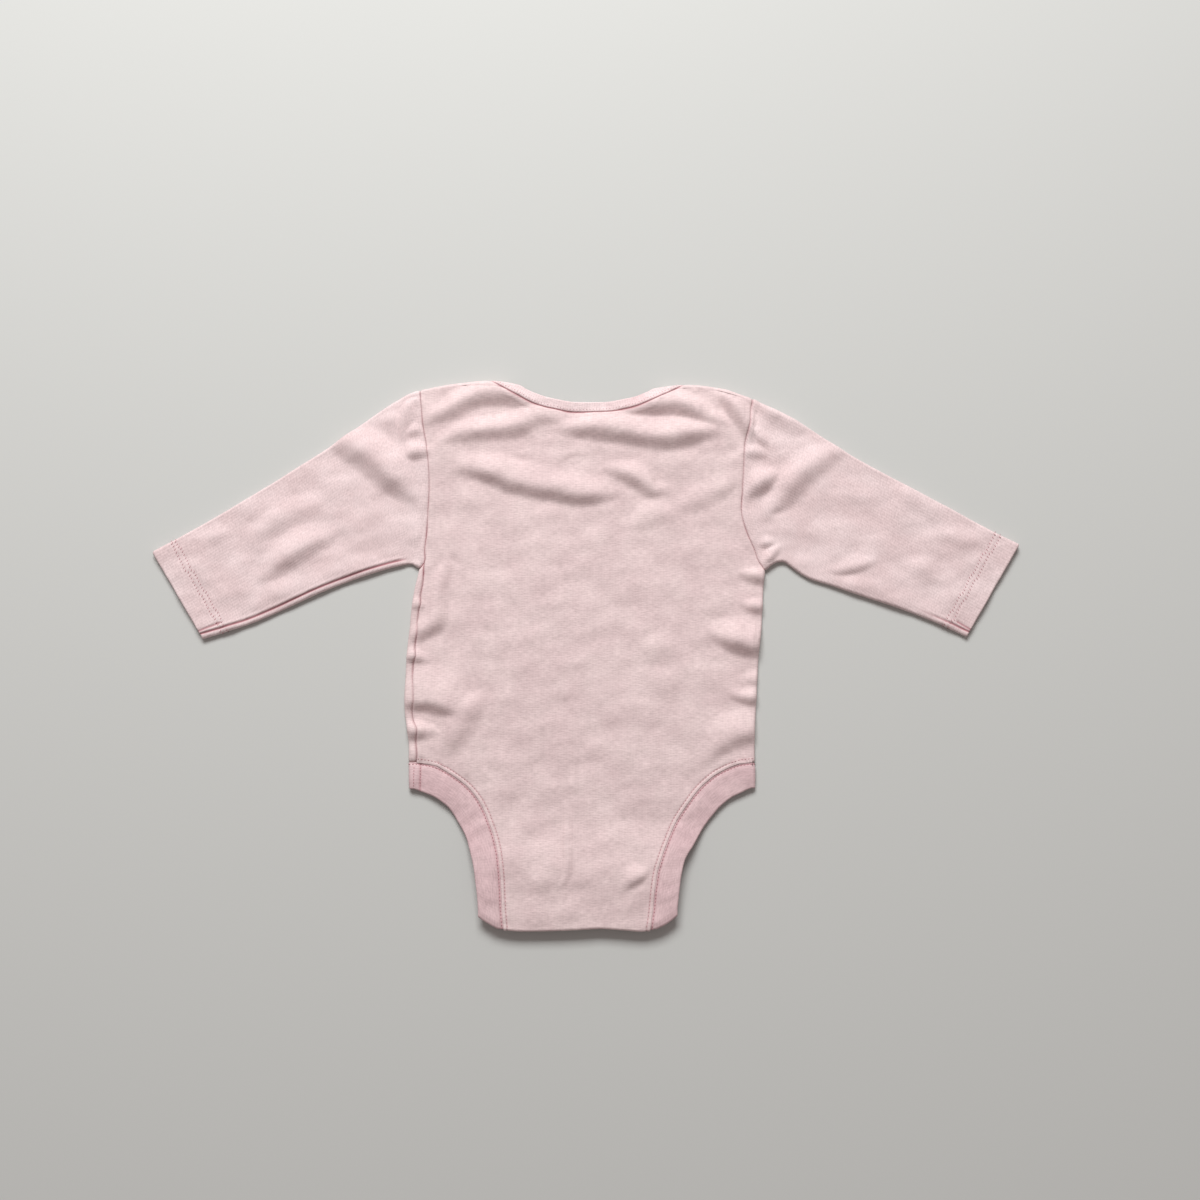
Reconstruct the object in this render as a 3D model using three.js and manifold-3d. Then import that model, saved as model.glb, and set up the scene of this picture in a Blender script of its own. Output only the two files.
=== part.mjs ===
import * as THREE from "three";
import Module from "manifold-3d";

// Sizes in millimetres: x across the garment, y towards the neck, z up from the surface it lies on.
const WALL = 1.0; // knit cloth, one layer
const SEAM_GAP = 0.3; // space between neighbouring pieces
const LOWER_MID = WALL / 2; // middle of the front panel, which rests on the surface
const LAYER_SPACE = 1.0; // air between the two layers where they lie flat
const LEAST_SPACE = 0.35; // air left at the bottom of a crease
const HEM_EXTRA = 0.5; // how much the turned sleeve hem adds to the inside
const TRIM_EXTRA = 0.4; // how much a binding or leg band adds to one side
const BINDING_WIDTH = 6.6;
const NECK_GAP = 0.46; // the neck seam is a little more open, where it turns over the shoulder fold
const BAND_WIDTH = 14.5;
const SIDE_SEAM_INSET = 4.5; // side seams lie this far inside the folded edge
const LAP_DEPTH_STEPS = [0.3, 0.62, 1]; // rows of the shoulder lap, as shares of its depth
const FOLD_TURNS = [0.25, 0.5, 0.75, 1]; // rows round a fold, as shares of the half turn
const SHOULDER_LIFT = 1.4; // the layers of the shoulder lap raise the back by this
const SHOULDER_LAP_LEVEL = 2.2; // middle of the front panel where it lies over the lap
const CROTCH_LIFT = 4.3; // the closed snaps raise the back by this
const CROTCH_FOLD_RADIUS = 1.05;
const FLAP_LIFT = 1.0; // the snap caps raise the end of the front panel by this
const FLAP_END = -157;
const FLAP_TOP = -110;
const TAB_END = -133;
const SNAP_Y = -145.5;
const SNAP_SPACING = 27;
const CROTCH_MIDDLE = -4.8;
const NECK_MIDDLE = 2.35;
const CUFF_DEPTH = 14;
const CORNER_INSET = 3; // side seams meet the armhole this far from the fold
const SHOULDER_Y = 153; // about where the armhole seam meets the shoulder fold

// Where the upper layer leaves its flat level: start and length of each ramp.
const SHOULDER_RAMP = { start: 94, length: 22 };
const SLEEVE_RAMP = { start: 104, length: 32 };
const CROTCH_RAMP = { start: -99, length: -31 };
const CUFF_RAMP = { start: CUFF_DEPTH, length: 14 };
const EDGE_RAMP = { start: 3, length: 11 };

// Where the front panel rises over the shoulder laps, from their edge, and over the snap caps.
const LAP_RAMP = { start: -20, length: 10 };
const CAP_RAMP = { start: -112, length: -14 };

// Rows of numbers as objects with the named columns.
const table = (columns, rows) => rows.map((row) => {
  const names = columns.split(" ");
  return Object.fromEntries(names.map((name, i) => [name, row[i]]));
});

// Folded side edges of the body.
const SIDES = table("y left right", [
  [48.3, -99.5, 107.2], [44, -100.4, 106.9], [35.6, -102.6, 106.4], [23.5, -104.2, 105.6],
  [11.4, -105.1, 104.8], [2.4, -106.0, 103.4], [-6.6, -106.6, 102.7], [-18.5, -107.0, 101.9],
  [-30.3, -107.2, 101.1], [-38, -106.9, 100.6], [-46, -105.6, 100.0], [-54, -104.5, 99.7],
  [-66, -103.9, 99.6], [-82, -103.3, 99.4],
]);

// Armhole seams on the back, from the shoulder down.
const ARMHOLES = table("y left right", [
  [157, -101.3, 103.0], [147, -100.2, 100.3], [136, -99.1, 99.0], [124, -96.9, 96.2],
  [112, -95.4, 95.5], [97, -94.7, 94.7], [81, -95.4, 94.0], [69, -96.0, 97.3],
  [59, -96.9, 101.5], [52, -96.8, 103.9], [48.5, -98.3, 106.2],
]);

// The folded top edge across both shoulders.
const SHOULDERS = table("x y", [
  [-101.9, 157.9], [-95.8, 159.6], [-89.7, 160.8], [-83.6, 161.9], [-77.4, 162.7], [-71.3, 163.3],
  [-65.2, 163.5], [-59, 163.4], [-52.9, 162.9], [-42, 161.6], [46, 159.8], [52, 160.6],
  [59.4, 161.4], [66, 161.6], [72, 161.2], [76, 160.6], [82.1, 159.4], [88.2, 157.6],
  [94.3, 155.6], [101.7, 152.8],
]);

// Back neck seam: distance from the middle, and height with the shoulder laps opened out flat.
const BACK_NECK = table("from y", [
  [0, 143.9], [8, 144.0], [14, 144.5], [20, 145.6], [30.6, 148.1], [37, 150.6], [42.5, 153.3],
  [49.5, 156.9], [57, 161.3], [65, 167], [75, 173.8], [85, 180.2], [95, 186.3], [106, 192.6],
]);

// Front neck seam, hidden under the back: how far it lies below its ends at the armholes.
const FRONT_NECK = table("from drop", [
  [0, 27.6], [10, 27.1], [20, 25.4], [30, 22.4], [40, 18.2], [53, 11.4], [67, 5.4], [81, 1.8],
  [100, 0],
]);

// Leg seams on the back, from the side seams down to the crotch.
const LEG_SEAMS = table("y left right", [
  [-66.9, -99.4, 98.1], [-67.6, -95.0, 91.5], [-68.6, -89.4, 87.9], [-71.0, -84.1, 82.2],
  [-74.2, -78.5, 76.2], [-78.4, -72.5, 70.9], [-83.2, -67.1, 65.9], [-88.8, -62.6, 61.4],
  [-95.0, -59.1, 57.0], [-102, -56.1, 52.6], [-110, -53.2, 48.9], [-119, -50.7, 45.2],
  [-129, -49.3, 41.9], [-140, -48.5, 40.0], [-151, -47.9, 38.9], [-164, -46.6, 36.9],
]);

// Open edges of the leg bands on the back, from the side down to the crotch.
const LEG_EDGES = table("leftX leftY rightX rightY", [
  [-100.6, -82.5, 97.4, -82.0], [-97.6, -83.6, 94.6, -83.0], [-94.3, -84.8, 91.0, -84.8],
  [-88.8, -87.0, 86.4, -87.0], [-83.9, -90.1, 81.9, -90.1], [-80.2, -93.2, 78.3, -93.2],
  [-77.4, -96.8, 75.6, -96.3], [-74.7, -101.2, 71.9, -100.7], [-71.9, -105.6, 69.2, -104.3],
  [-69.6, -110.0, 66.5, -108.6], [-67.1, -117.8, 62.8, -114.9], [-64.8, -126.4, 58.1, -122.2],
  [-63.5, -135.3, 55.6, -131.5], [-62.3, -144.1, 54.2, -141.5], [-61.7, -152.0, 53.1, -150.6],
]);

// Leg seams on the front: share of the way from the edge of the flap to the side of the body.
const FRONT_LEG_SEAM = table("y share", [
  [-66.9, 1], [-67.3, 0.86], [-68.6, 0.71], [-71.2, 0.56], [-75.4, 0.43], [-81.4, 0.31],
  [-89.5, 0.21], [-100, 0.13], [-114, 0.06], [-129, 0.02], [-143, 0], [FLAP_END, 0],
]);
const FLAP_HALF_WIDTH = 36;

// The folded bottom edge of the crotch.
const CROTCH_FOLD = table("x y", [
  [-62.5, -154.2], [-59.9, -156.2], [-55, -159.2], [-50.5, -161.6], [-46, -162.7], [-39, -163.4],
  [-28, -163.4], [-15, -163.1], [-3, -162.6], [8.5, -162.0], [22, -162.8], [35, -163.3],
  [41.8, -161.4], [47.6, -158.4], [51.6, -155.4], [54, -153.2],
]);

// Folded edges of the sleeves, each from the armhole to the cuff.
const SLEEVE_TOPS = table("leftX leftY rightX rightY", [
  [-101.3, 158.0, 102.0, 152.7], [-107.5, 156.4, 107.5, 149.9], [-114.1, 152.6, 115.6, 146.1],
  [-129.2, 142.6, 130.8, 138.0], [-144.2, 131.4, 145.8, 128.0], [-159.1, 120.8, 160.8, 118.2],
  [-174.1, 111.0, 175.8, 109.4], [-188.9, 101.3, 190.8, 101.2], [-203.8, 91.9, 205.7, 92.9],
  [-218.6, 82.7, 220.5, 84.9], [-233.4, 73.9, 235.3, 76.5], [-247.0, 66.0, 247.1, 69.9],
  [-260.6, 58.4, 260.6, 63.0],
]);
const SLEEVE_BOTTOMS = table("leftX leftY rightX rightY", [
  [-99.5, 48.3, 107.2, 47.1], [-104.7, 50.9, 110.9, 49.8], [-111.9, 49.8, 115.1, 52.0],
  [-117.9, 48.3, 118.9, 52.2], [-123.9, 46.5, 123.1, 49.4], [-132.8, 43.6, 127.5, 46.0],
  [-141.8, 40.4, 132.5, 42.9], [-159.6, 33.2, 146.7, 38.0], [-177.3, 24.9, 164.5, 31.8],
  [-188, 20.0, 182.4, 25.8], [-197.4, 15.9, 200.1, 19.3], [-212.7, 10.6, 214.8, 13.0],
  [-228.4, 5.8, 227.0, 7.2],
]);

// Folds of the upper layer: three points along each crest, its half width and its height.
const FOLDS = table("ax ay bx by cx cy width height", [
  [-16, 136, 20.5, 131.5, 73, 128, 6, 2.0],
  [-84.5, 152, -62, 154.5, -28.5, 153, 5, 1.4],
  [62.5, 152, 73.5, 148, 86, 140, 5, 1.3],
  [-80, 139, -55.5, 138, -28, 134, 6.5, 0.7],
  [-76.5, 114, -34, 98.5, 17.5, 93, 6, 1.7],
  [15, 110, 33, 101, 50, 96, 5.5, 1.0],
  [20.5, 73, 45, 82, 90.5, 94.5, 7, 0.7],
  [87, 145.5, 91.5, 138, 96.5, 130.5, 5, -0.4],
  [-88.5, 103, -88.5, 78.5, -87.5, 54, 6, 0.6],
  [-97, 29.5, -87.5, 30.5, -75.5, 33, 5.5, 0.7],
  [-100.5, 11.5, -89.5, 14, -77.5, 17.5, 5.5, 0.6],
  [-96.5, -2, -84, -11.5, -73.5, -25.5, 6, 0.9],
  [-102, -40, -93.5, -43.5, -82.5, -47, 5.5, 0.7],
  [100.5, 15, 93.5, 11.5, 84, 9, 6, 1.0],
  [100, -11.5, 92, -13.5, 81, -16, 5.5, 0.7],
  [96.5, -32.5, 85.5, -44.5, 74.5, -58.5, 6, 0.8],
  [-56, -0.5, -58.5, -25, -79, -64.5, 6, -0.5],
  [-15, -71.5, -24, -90, -31.5, -113, 6, -0.3],
  [32, -76, 22.5, -92.5, 13, -107.5, 6, -0.3],
  [32.5, -12.5, 47, -11.5, 62, -10, 8, 0.6],
  [-32, -149, -6, -150.5, 27, -149, 7, 0.4],
  [-144, 125, -125.5, 115.5, -104.5, 104, 6, 1.9],
  [-104, 150.5, -111, 140.5, -111.5, 126.5, 5, -0.5],
  [-193.5, 70.5, -173, 82.5, -151.5, 90.5, 6, 0.9],
  [-195, 47, -172.5, 58, -141.5, 76.5, 6, 1.2],
  [-141.5, 76.5, -126, 87, -113, 95.5, 6, 0.9],
  [-207.5, 26, -169, 39, -112, 63, 7, 0.9],
  [112.5, 144, 122, 139, 132.5, 131.5, 5, 0.9],
  [100, 98, 110.5, 103.5, 120.5, 110, 5.5, 1.5],
  [119.5, 92, 130, 106, 142.5, 115.5, 5.5, 1.2],
  [114, 79.5, 116, 69.5, 116.5, 60, 6, 1.0],
  [146, 49, 164, 52, 184.5, 58.5, 5.5, 1.2],
  [154, 40.5, 188.5, 29.5, 221, 19, 7, 0.7],
  [191.5, 54, 206, 48.5, 217.5, 41.5, 5.5, 0.7],
  [190.5, 95, 199.5, 91, 208.5, 87, 6, 0.5],
]);

// Everything that differs between the two halves, named as they lie seen from above.
const HALVES = {
  left: { column: "left", sign: -1, underarm: [-0.6, -0.8], underarmY: 48.3 },
  right: { column: "right", sign: 1, underarm: [0.6, -0.8], underarmY: 47.1 },
};

const mix = (a, b, share) => a + (b - a) * share;
const smooth = (t) => {
  const s = Math.min(1, Math.max(0, t));
  return s * s * (3 - 2 * s);
};
const ramp = (at, { start, length }) => smooth((at - start) / length);
const steps = (count) => Array.from({ length: count + 1 }, (_, i) => i / count);

// Value of one column of a table where another column has the given value, with straight lines between.
function read(rows, key, value, at) {
  const rising = rows[rows.length - 1][key] > rows[0][key];
  const past = (row) => (rising ? row[key] > at : row[key] < at);
  const next = Math.min(rows.length - 1, Math.max(1, rows.findIndex(past)));
  const upper = past(rows[rows.length - 1]) ? next : rows.length - 1;
  const a = rows[upper - 1];
  const b = rows[upper];
  const share = Math.min(1, Math.max(0, (at - a[key]) / (b[key] - a[key])));
  return mix(a[value], b[value], share);
}

// Points of one half of a table that lists x and y for both halves.
const pathOf = (rows, side) => rows.map((row) => [row[side + "X"], row[side + "Y"]]);

// The point at a share of a path's length.
function along(path, share) {
  const lengths = path.slice(1).map((p, i) => Math.hypot(p[0] - path[i][0], p[1] - path[i][1]));
  let left = share * lengths.reduce((sum, one) => sum + one, 0);
  let i = 0;
  while (i < lengths.length - 1 && left > lengths[i]) {
    left -= lengths[i];
    i += 1;
  }
  const t = Math.min(1, left / lengths[i]);
  return [mix(path[i][0], path[i + 1][0], t), mix(path[i][1], path[i + 1][1], t)];
}

function distanceToSegment(x, y, a, b) {
  const dx = b[0] - a[0];
  const dy = b[1] - a[1];
  const t = Math.min(1, Math.max(0, ((x - a[0]) * dx + (y - a[1]) * dy) / (dx * dx + dy * dy)));
  return Math.hypot(x - a[0] - t * dx, y - a[1] - t * dy);
}

// Outline of the whole garment in plan, used to flatten folds towards every edge.
const OUTLINE = [
  ...SIDES.map((row) => [row.left, row.y]),
  ...pathOf(LEG_EDGES, "left"),
  ...CROTCH_FOLD.map((row) => [row.x, row.y]),
  ...pathOf(LEG_EDGES, "right").reverse(),
  ...SIDES.map((row) => [row.right, row.y]).reverse(),
  ...pathOf(SLEEVE_BOTTOMS, "right"),
  ...pathOf(SLEEVE_TOPS, "right").reverse(),
  ...SHOULDERS.filter((row) => row.x > 50).map((row) => [row.x, row.y]).reverse(),
  ...BACK_NECK.filter((row) => row.from < 45).map((row) => [NECK_MIDDLE + row.from, row.y + 6]).reverse(),
  ...BACK_NECK.filter((row) => row.from < 45).map((row) => [NECK_MIDDLE - row.from, row.y + 6]),
  ...SHOULDERS.filter((row) => row.x < -50).map((row) => [row.x, row.y]).reverse(),
  ...pathOf(SLEEVE_TOPS, "left"),
  ...pathOf(SLEEVE_BOTTOMS, "left").reverse(),
];

const edgeDistance = (x, y) =>
  OUTLINE.reduce((least, point, i) => {
    const next = OUTLINE[(i + 1) % OUTLINE.length];
    const same = point[0] === next[0] && point[1] === next[1];
    return same ? least : Math.min(least, distanceToSegment(x, y, point, next));
  }, Infinity);

// Height that the folds add at a point of the upper layer.
function foldHeight(x, y) {
  let ridges = 0;
  let creases = 0;
  for (const fold of FOLDS) {
    const a = [fold.ax, fold.ay];
    const b = [fold.bx, fold.by];
    const c = [fold.cx, fold.cy];
    const distance = Math.min(distanceToSegment(x, y, a, b), distanceToSegment(x, y, b, c));
    const height = fold.height * Math.exp(-((distance / fold.width) ** 2));
    ridges += Math.max(0, height) ** 3;
    creases = Math.min(creases, height);
  }
  return Math.cbrt(ridges) + creases;
}

// How far a point lies inside the cuff edge of the nearer sleeve.
function cuffDistance(x, y) {
  const side = x < 0 ? "left" : "right";
  const top = pathOf(SLEEVE_TOPS, side).at(-1);
  const bottom = pathOf(SLEEVE_BOTTOMS, side).at(-1);
  const length = Math.hypot(bottom[0] - top[0], bottom[1] - top[1]);
  const across = (x - top[0]) * (bottom[1] - top[1]) - (y - top[1]) * (bottom[0] - top[0]);
  return (x < 0 ? -across : across) / length;
}

// Middle height of the upper layer.
function upperHeight(x, y) {
  const overShoulder = ramp(y, SHOULDER_RAMP) * (1 - ramp(Math.abs(x), SLEEVE_RAMP));
  const overCrotch = ramp(y, CROTCH_RAMP);
  const nearCuff = 1 - ramp(cuffDistance(x, y), CUFF_RAMP);
  const base = LOWER_MID + WALL + LAYER_SPACE + HEM_EXTRA * nearCuff;
  const raised = base + SHOULDER_LIFT * overShoulder + CROTCH_LIFT * overCrotch;
  const bump = foldHeight(x, y) * ramp(edgeDistance(x, y), EDGE_RAMP);
  return raised + Math.max(bump, LEAST_SPACE - LAYER_SPACE);
}

// A fold seen in plan: where the cloth starts to turn, which way it goes, and the radius of the turn.
function foldAt(edgeX, edgeY, dx, dy, fixedRadius = 0) {
  let radius = fixedRadius || LAYER_SPACE;
  let start = [edgeX, edgeY];
  for (let i = 0; i < 3; i += 1) {
    const inset = radius + WALL / 2;
    start = [edgeX - inset * dx, edgeY - inset * dy];
    radius = fixedRadius || (upperHeight(...start) - LOWER_MID) / 2;
  }
  return { x: start[0], y: start[1], dx, dy, radius, top: upperHeight(...start) };
}

// The point of the cloth a distance past the start of a fold, and the way its outer face looks there.
function roundFold(fold, past) {
  const turn = Math.min(Math.PI, Math.max(0, past / fold.radius));
  const flat = past - turn * fold.radius;
  const out = fold.radius * Math.sin(turn) + (past > 0 ? -flat : flat);
  const x = fold.x + out * fold.dx;
  const y = fold.y + out * fold.dy;
  const z = past < 0 ? upperHeight(x, y) : fold.top - fold.radius * (1 - Math.cos(turn));
  const face = [Math.sin(turn) * fold.dx, Math.sin(turn) * fold.dy, Math.cos(turn)];
  return { x, y, z, turn: turn / Math.PI, face };
}

const halfTurn = (fold) => Math.PI * fold.radius;

// The fold down each side of the body, which turns towards the sleeve just under the arm.
function sideFold(half, y) {
  const share = smooth((y - half.underarmY + 16) / 16);
  const dx = mix(half.sign, half.underarm[0], share);
  const dy = mix(0, half.underarm[1], share);
  const length = Math.hypot(dx, dy);
  return foldAt(read(SIDES, "y", half.column, y), y, dx / length, dy / length);
}

const shoulderFold = (x) => foldAt(x, read(SHOULDERS, "x", "y", x), 0, 1);
const crotchFold = (x) => foldAt(x, read(CROTCH_FOLD, "x", "y", x), 0, -1, CROTCH_FOLD_RADIUS);
const armholeX = (half, y) => read(ARMHOLES, "y", half.column, y);

// Cloth as a mesh of points in its middle, each with its own share of thickness outwards and inwards.
class Cloth {
  constructor() {
    this.points = [];
    this.faces = [];
  }

  // Adds a point and gives its number; face fixes the way the outer side looks, where a seam needs it.
  add(point, outer = WALL / 2, inner = WALL / 2, face = null) {
    this.points.push({ at: new THREE.Vector3(point.x, point.y, point.z), outer, inner, face });
    return this.points.length - 1;
  }

  // Fills the strip between two rows of { id, at } with triangles; reversed turns their faces over.
  fill(lower, upper, reversed = false) {
    let i = 0;
    let j = 0;
    while (i < lower.length - 1 || j < upper.length - 1) {
      const low = i < lower.length - 1 ? lower[i + 1].at : Infinity;
      const high = j < upper.length - 1 ? upper[j + 1].at : Infinity;
      const takeLower = low <= high;
      const corner = takeLower ? lower[i + 1].id : upper[j + 1].id;
      const face = [lower[i].id, corner, upper[j].id];
      if (new Set(face).size === 3) this.faces.push(reversed ? face.reverse() : face);
      if (takeLower) i += 1;
      else j += 1;
    }
  }

  // Closed body: both sides of the cloth, and a wall along every free edge.
  solid() {
    const normals = this.points.map(() => new THREE.Vector3());
    const edges = new Map();
    for (const face of this.faces) {
      const corners = face.map((id) => this.points[id].at);
      face.forEach((id, k) => {
        const next = corners[(k + 1) % 3].clone().sub(corners[k]);
        const last = corners[(k + 2) % 3].clone().sub(corners[k]);
        const angle = next.angleTo(last);
        normals[id].addScaledVector(next.cross(last).normalize(), angle);
        edges.set(face[k] + " " + face[(k + 1) % 3], [face[k], face[(k + 1) % 3]]);
      });
    }
    const count = this.points.length;
    const positions = [];
    for (const side of [1, -1]) {
      this.points.forEach((point, id) => {
        const face = point.face ? new THREE.Vector3(...point.face) : normals[id].normalize();
        const offset = side > 0 ? point.outer : -point.inner;
        const moved = point.at.clone().addScaledVector(face, offset);
        positions.push(moved.x, moved.y, moved.z);
      });
    }
    const index = [];
    for (const [a, b, c] of this.faces) {
      index.push(a, b, c, c + count, b + count, a + count);
    }
    for (const [a, b] of edges.values()) {
      if (edges.has(b + " " + a)) continue;
      index.push(b, a, a + count, b, a + count, b + count);
    }
    const geometry = new THREE.BufferGeometry();
    geometry.setAttribute("position", new THREE.Float32BufferAttribute(positions, 3));
    geometry.setIndex(index);
    return geometry;
  }
}

const left = HALVES.left;
const right = HALVES.right;
const halfGap = SEAM_GAP / 2;

// Heights of the rows shared by both panels down the sides.
const SIDE_ROWS = [-66.9, -57, -47, -38, -29, -20, -11, -2, 7, 15, 23, 31, 38.5, 44];

// Columns across the panels where they are widest, between the arms, and at the crotch.
const TRUNK_COLUMNS = 21;
const SEAT_COLUMNS = 16;
const CROTCH_COLUMNS = 11;
const FRONT_COLUMNS = 12;
const FRONT_NECK_COLUMNS = 22;
const FLAP_COLUMNS = 8;

// Shares of the way up the armhole at which both panels and the sleeve have a row.
const ARMHOLE_ROWS = steps(12).slice(1);

// Distances from the middle of the neck to the columns of the back at its shoulders and its neck.
const LAP_COLUMNS = [92, 84, 76.5, 70, 65.5, 63, 60.8, 58.7];
const NECK_COLUMNS = [50, 43.5, 36, 27, 18, 9, 0];

// A point of the back where it is opened out flat above the shoulder fold.
function shoulderPoint(x, y) {
  const fold = shoulderFold(x);
  return roundFold(fold, y - fold.y);
}

// The corners of the armhole: its top at the shoulder fold and its bottom at the side fold.
function armholeOf(half) {
  const near = shoulderFold(armholeX(half, SHOULDER_Y));
  const shoulder = shoulderFold(armholeX(half, near.y));
  const side = sideFold(half, half.underarmY);
  const backCorner = roundFold(side, half.sign < 0 ? -CORNER_INSET : 0);
  const frontCorner = roundFold(side, halfTurn(side) + (half.sign < 0 ? 0 : CORNER_INSET));
  return { shoulder, side, backCorner, frontCorner };
}
const armholes = { left: armholeOf(left), right: armholeOf(right) };

// A point of the armhole seam at a share of its height.
function armholePoint(half, share) {
  const { shoulder, backCorner } = armholes[half.column];
  const y = mix(backCorner.y, shoulder.y, share);
  return [share === 1 ? shoulder.x : armholeX(half, y), y];
}

// Distances from the middle of the neck between which its seam reaches the shoulder fold.
const NECK_REACH = [45, 62];

// Distance from the middle at which the neck seam reaches the start of the shoulder fold.
function neckCrossing(half) {
  let [near, far] = NECK_REACH;
  for (let i = 0; i < 30; i += 1) {
    const middle = (near + far) / 2;
    const fold = shoulderFold(NECK_MIDDLE + half.sign * middle);
    if (read(BACK_NECK, "from", "y", middle) < fold.y) near = middle;
    else far = middle;
  }
  return near;
}

// Columns of one shoulder, as distances from the middle of the neck, from the armhole inwards.
const lapFroms = (half) => [
  Math.abs(armholes[half.column].shoulder.x - NECK_MIDDLE), ...LAP_COLUMNS, neckCrossing(half),
];
const topColumns = [
  ...lapFroms(left).map((from) => NECK_MIDDLE - from),
  ...NECK_COLUMNS.map((from) => NECK_MIDDLE - from),
  ...NECK_COLUMNS.slice(0, -1).reverse().map((from) => NECK_MIDDLE + from),
  ...lapFroms(right).reverse().map((from) => NECK_MIDDLE + from),
];

// Columns of a shoulder lap, each with the distance past the fold at which its bound edge lies.
function lapColumns(half) {
  const froms = lapFroms(half);
  return froms.map((from, i) => {
    const startX = NECK_MIDDLE + half.sign * from;
    const start = shoulderFold(startX);
    const shift = 1 - i / (froms.length - 1);
    const xAt = (past) => {
      const y = start.y - Math.max(0, past - halfTurn(start));
      return startX + (armholeX(half, y) - armholeX(half, start.y)) * shift;
    };
    let limit = 0;
    for (let k = 0; k < 12; k += 1) {
      const x = xAt(limit);
      limit = read(BACK_NECK, "from", "y", Math.abs(x - NECK_MIDDLE)) - shoulderFold(x).y;
    }
    const turns = FOLD_TURNS.map((share) => share * halfTurn(start));
    const depth = Math.max(0, limit - halfTurn(start));
    const flats = LAP_DEPTH_STEPS.map((share) => halfTurn(start) + share * depth);
    const pasts = [...turns, ...flats].map((past) => Math.min(past, limit));
    return { pasts, limit: Math.max(0, limit), xAt };
  });
}
const laps = { left: lapColumns(left), right: lapColumns(right) };

// Rows of the crotch tab, from its free end round the fold to the start of the turn.
const TAB_ROWS = [
  ...[1, 0.66, 0.33, 0.08].map((share) => (fold) => halfTurn(fold) + share * (TAB_END - fold.y)),
  ...[1, 0.75, 0.5, 0.25, 0].map((share) => (fold) => share * halfTurn(fold)),
];
const tabPoint = (x, pastOf) => roundFold(crotchFold(x), pastOf(crotchFold(x)));

const legSeam = (half, y) => read(LEG_SEAMS, "y", half.column, y);

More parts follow.
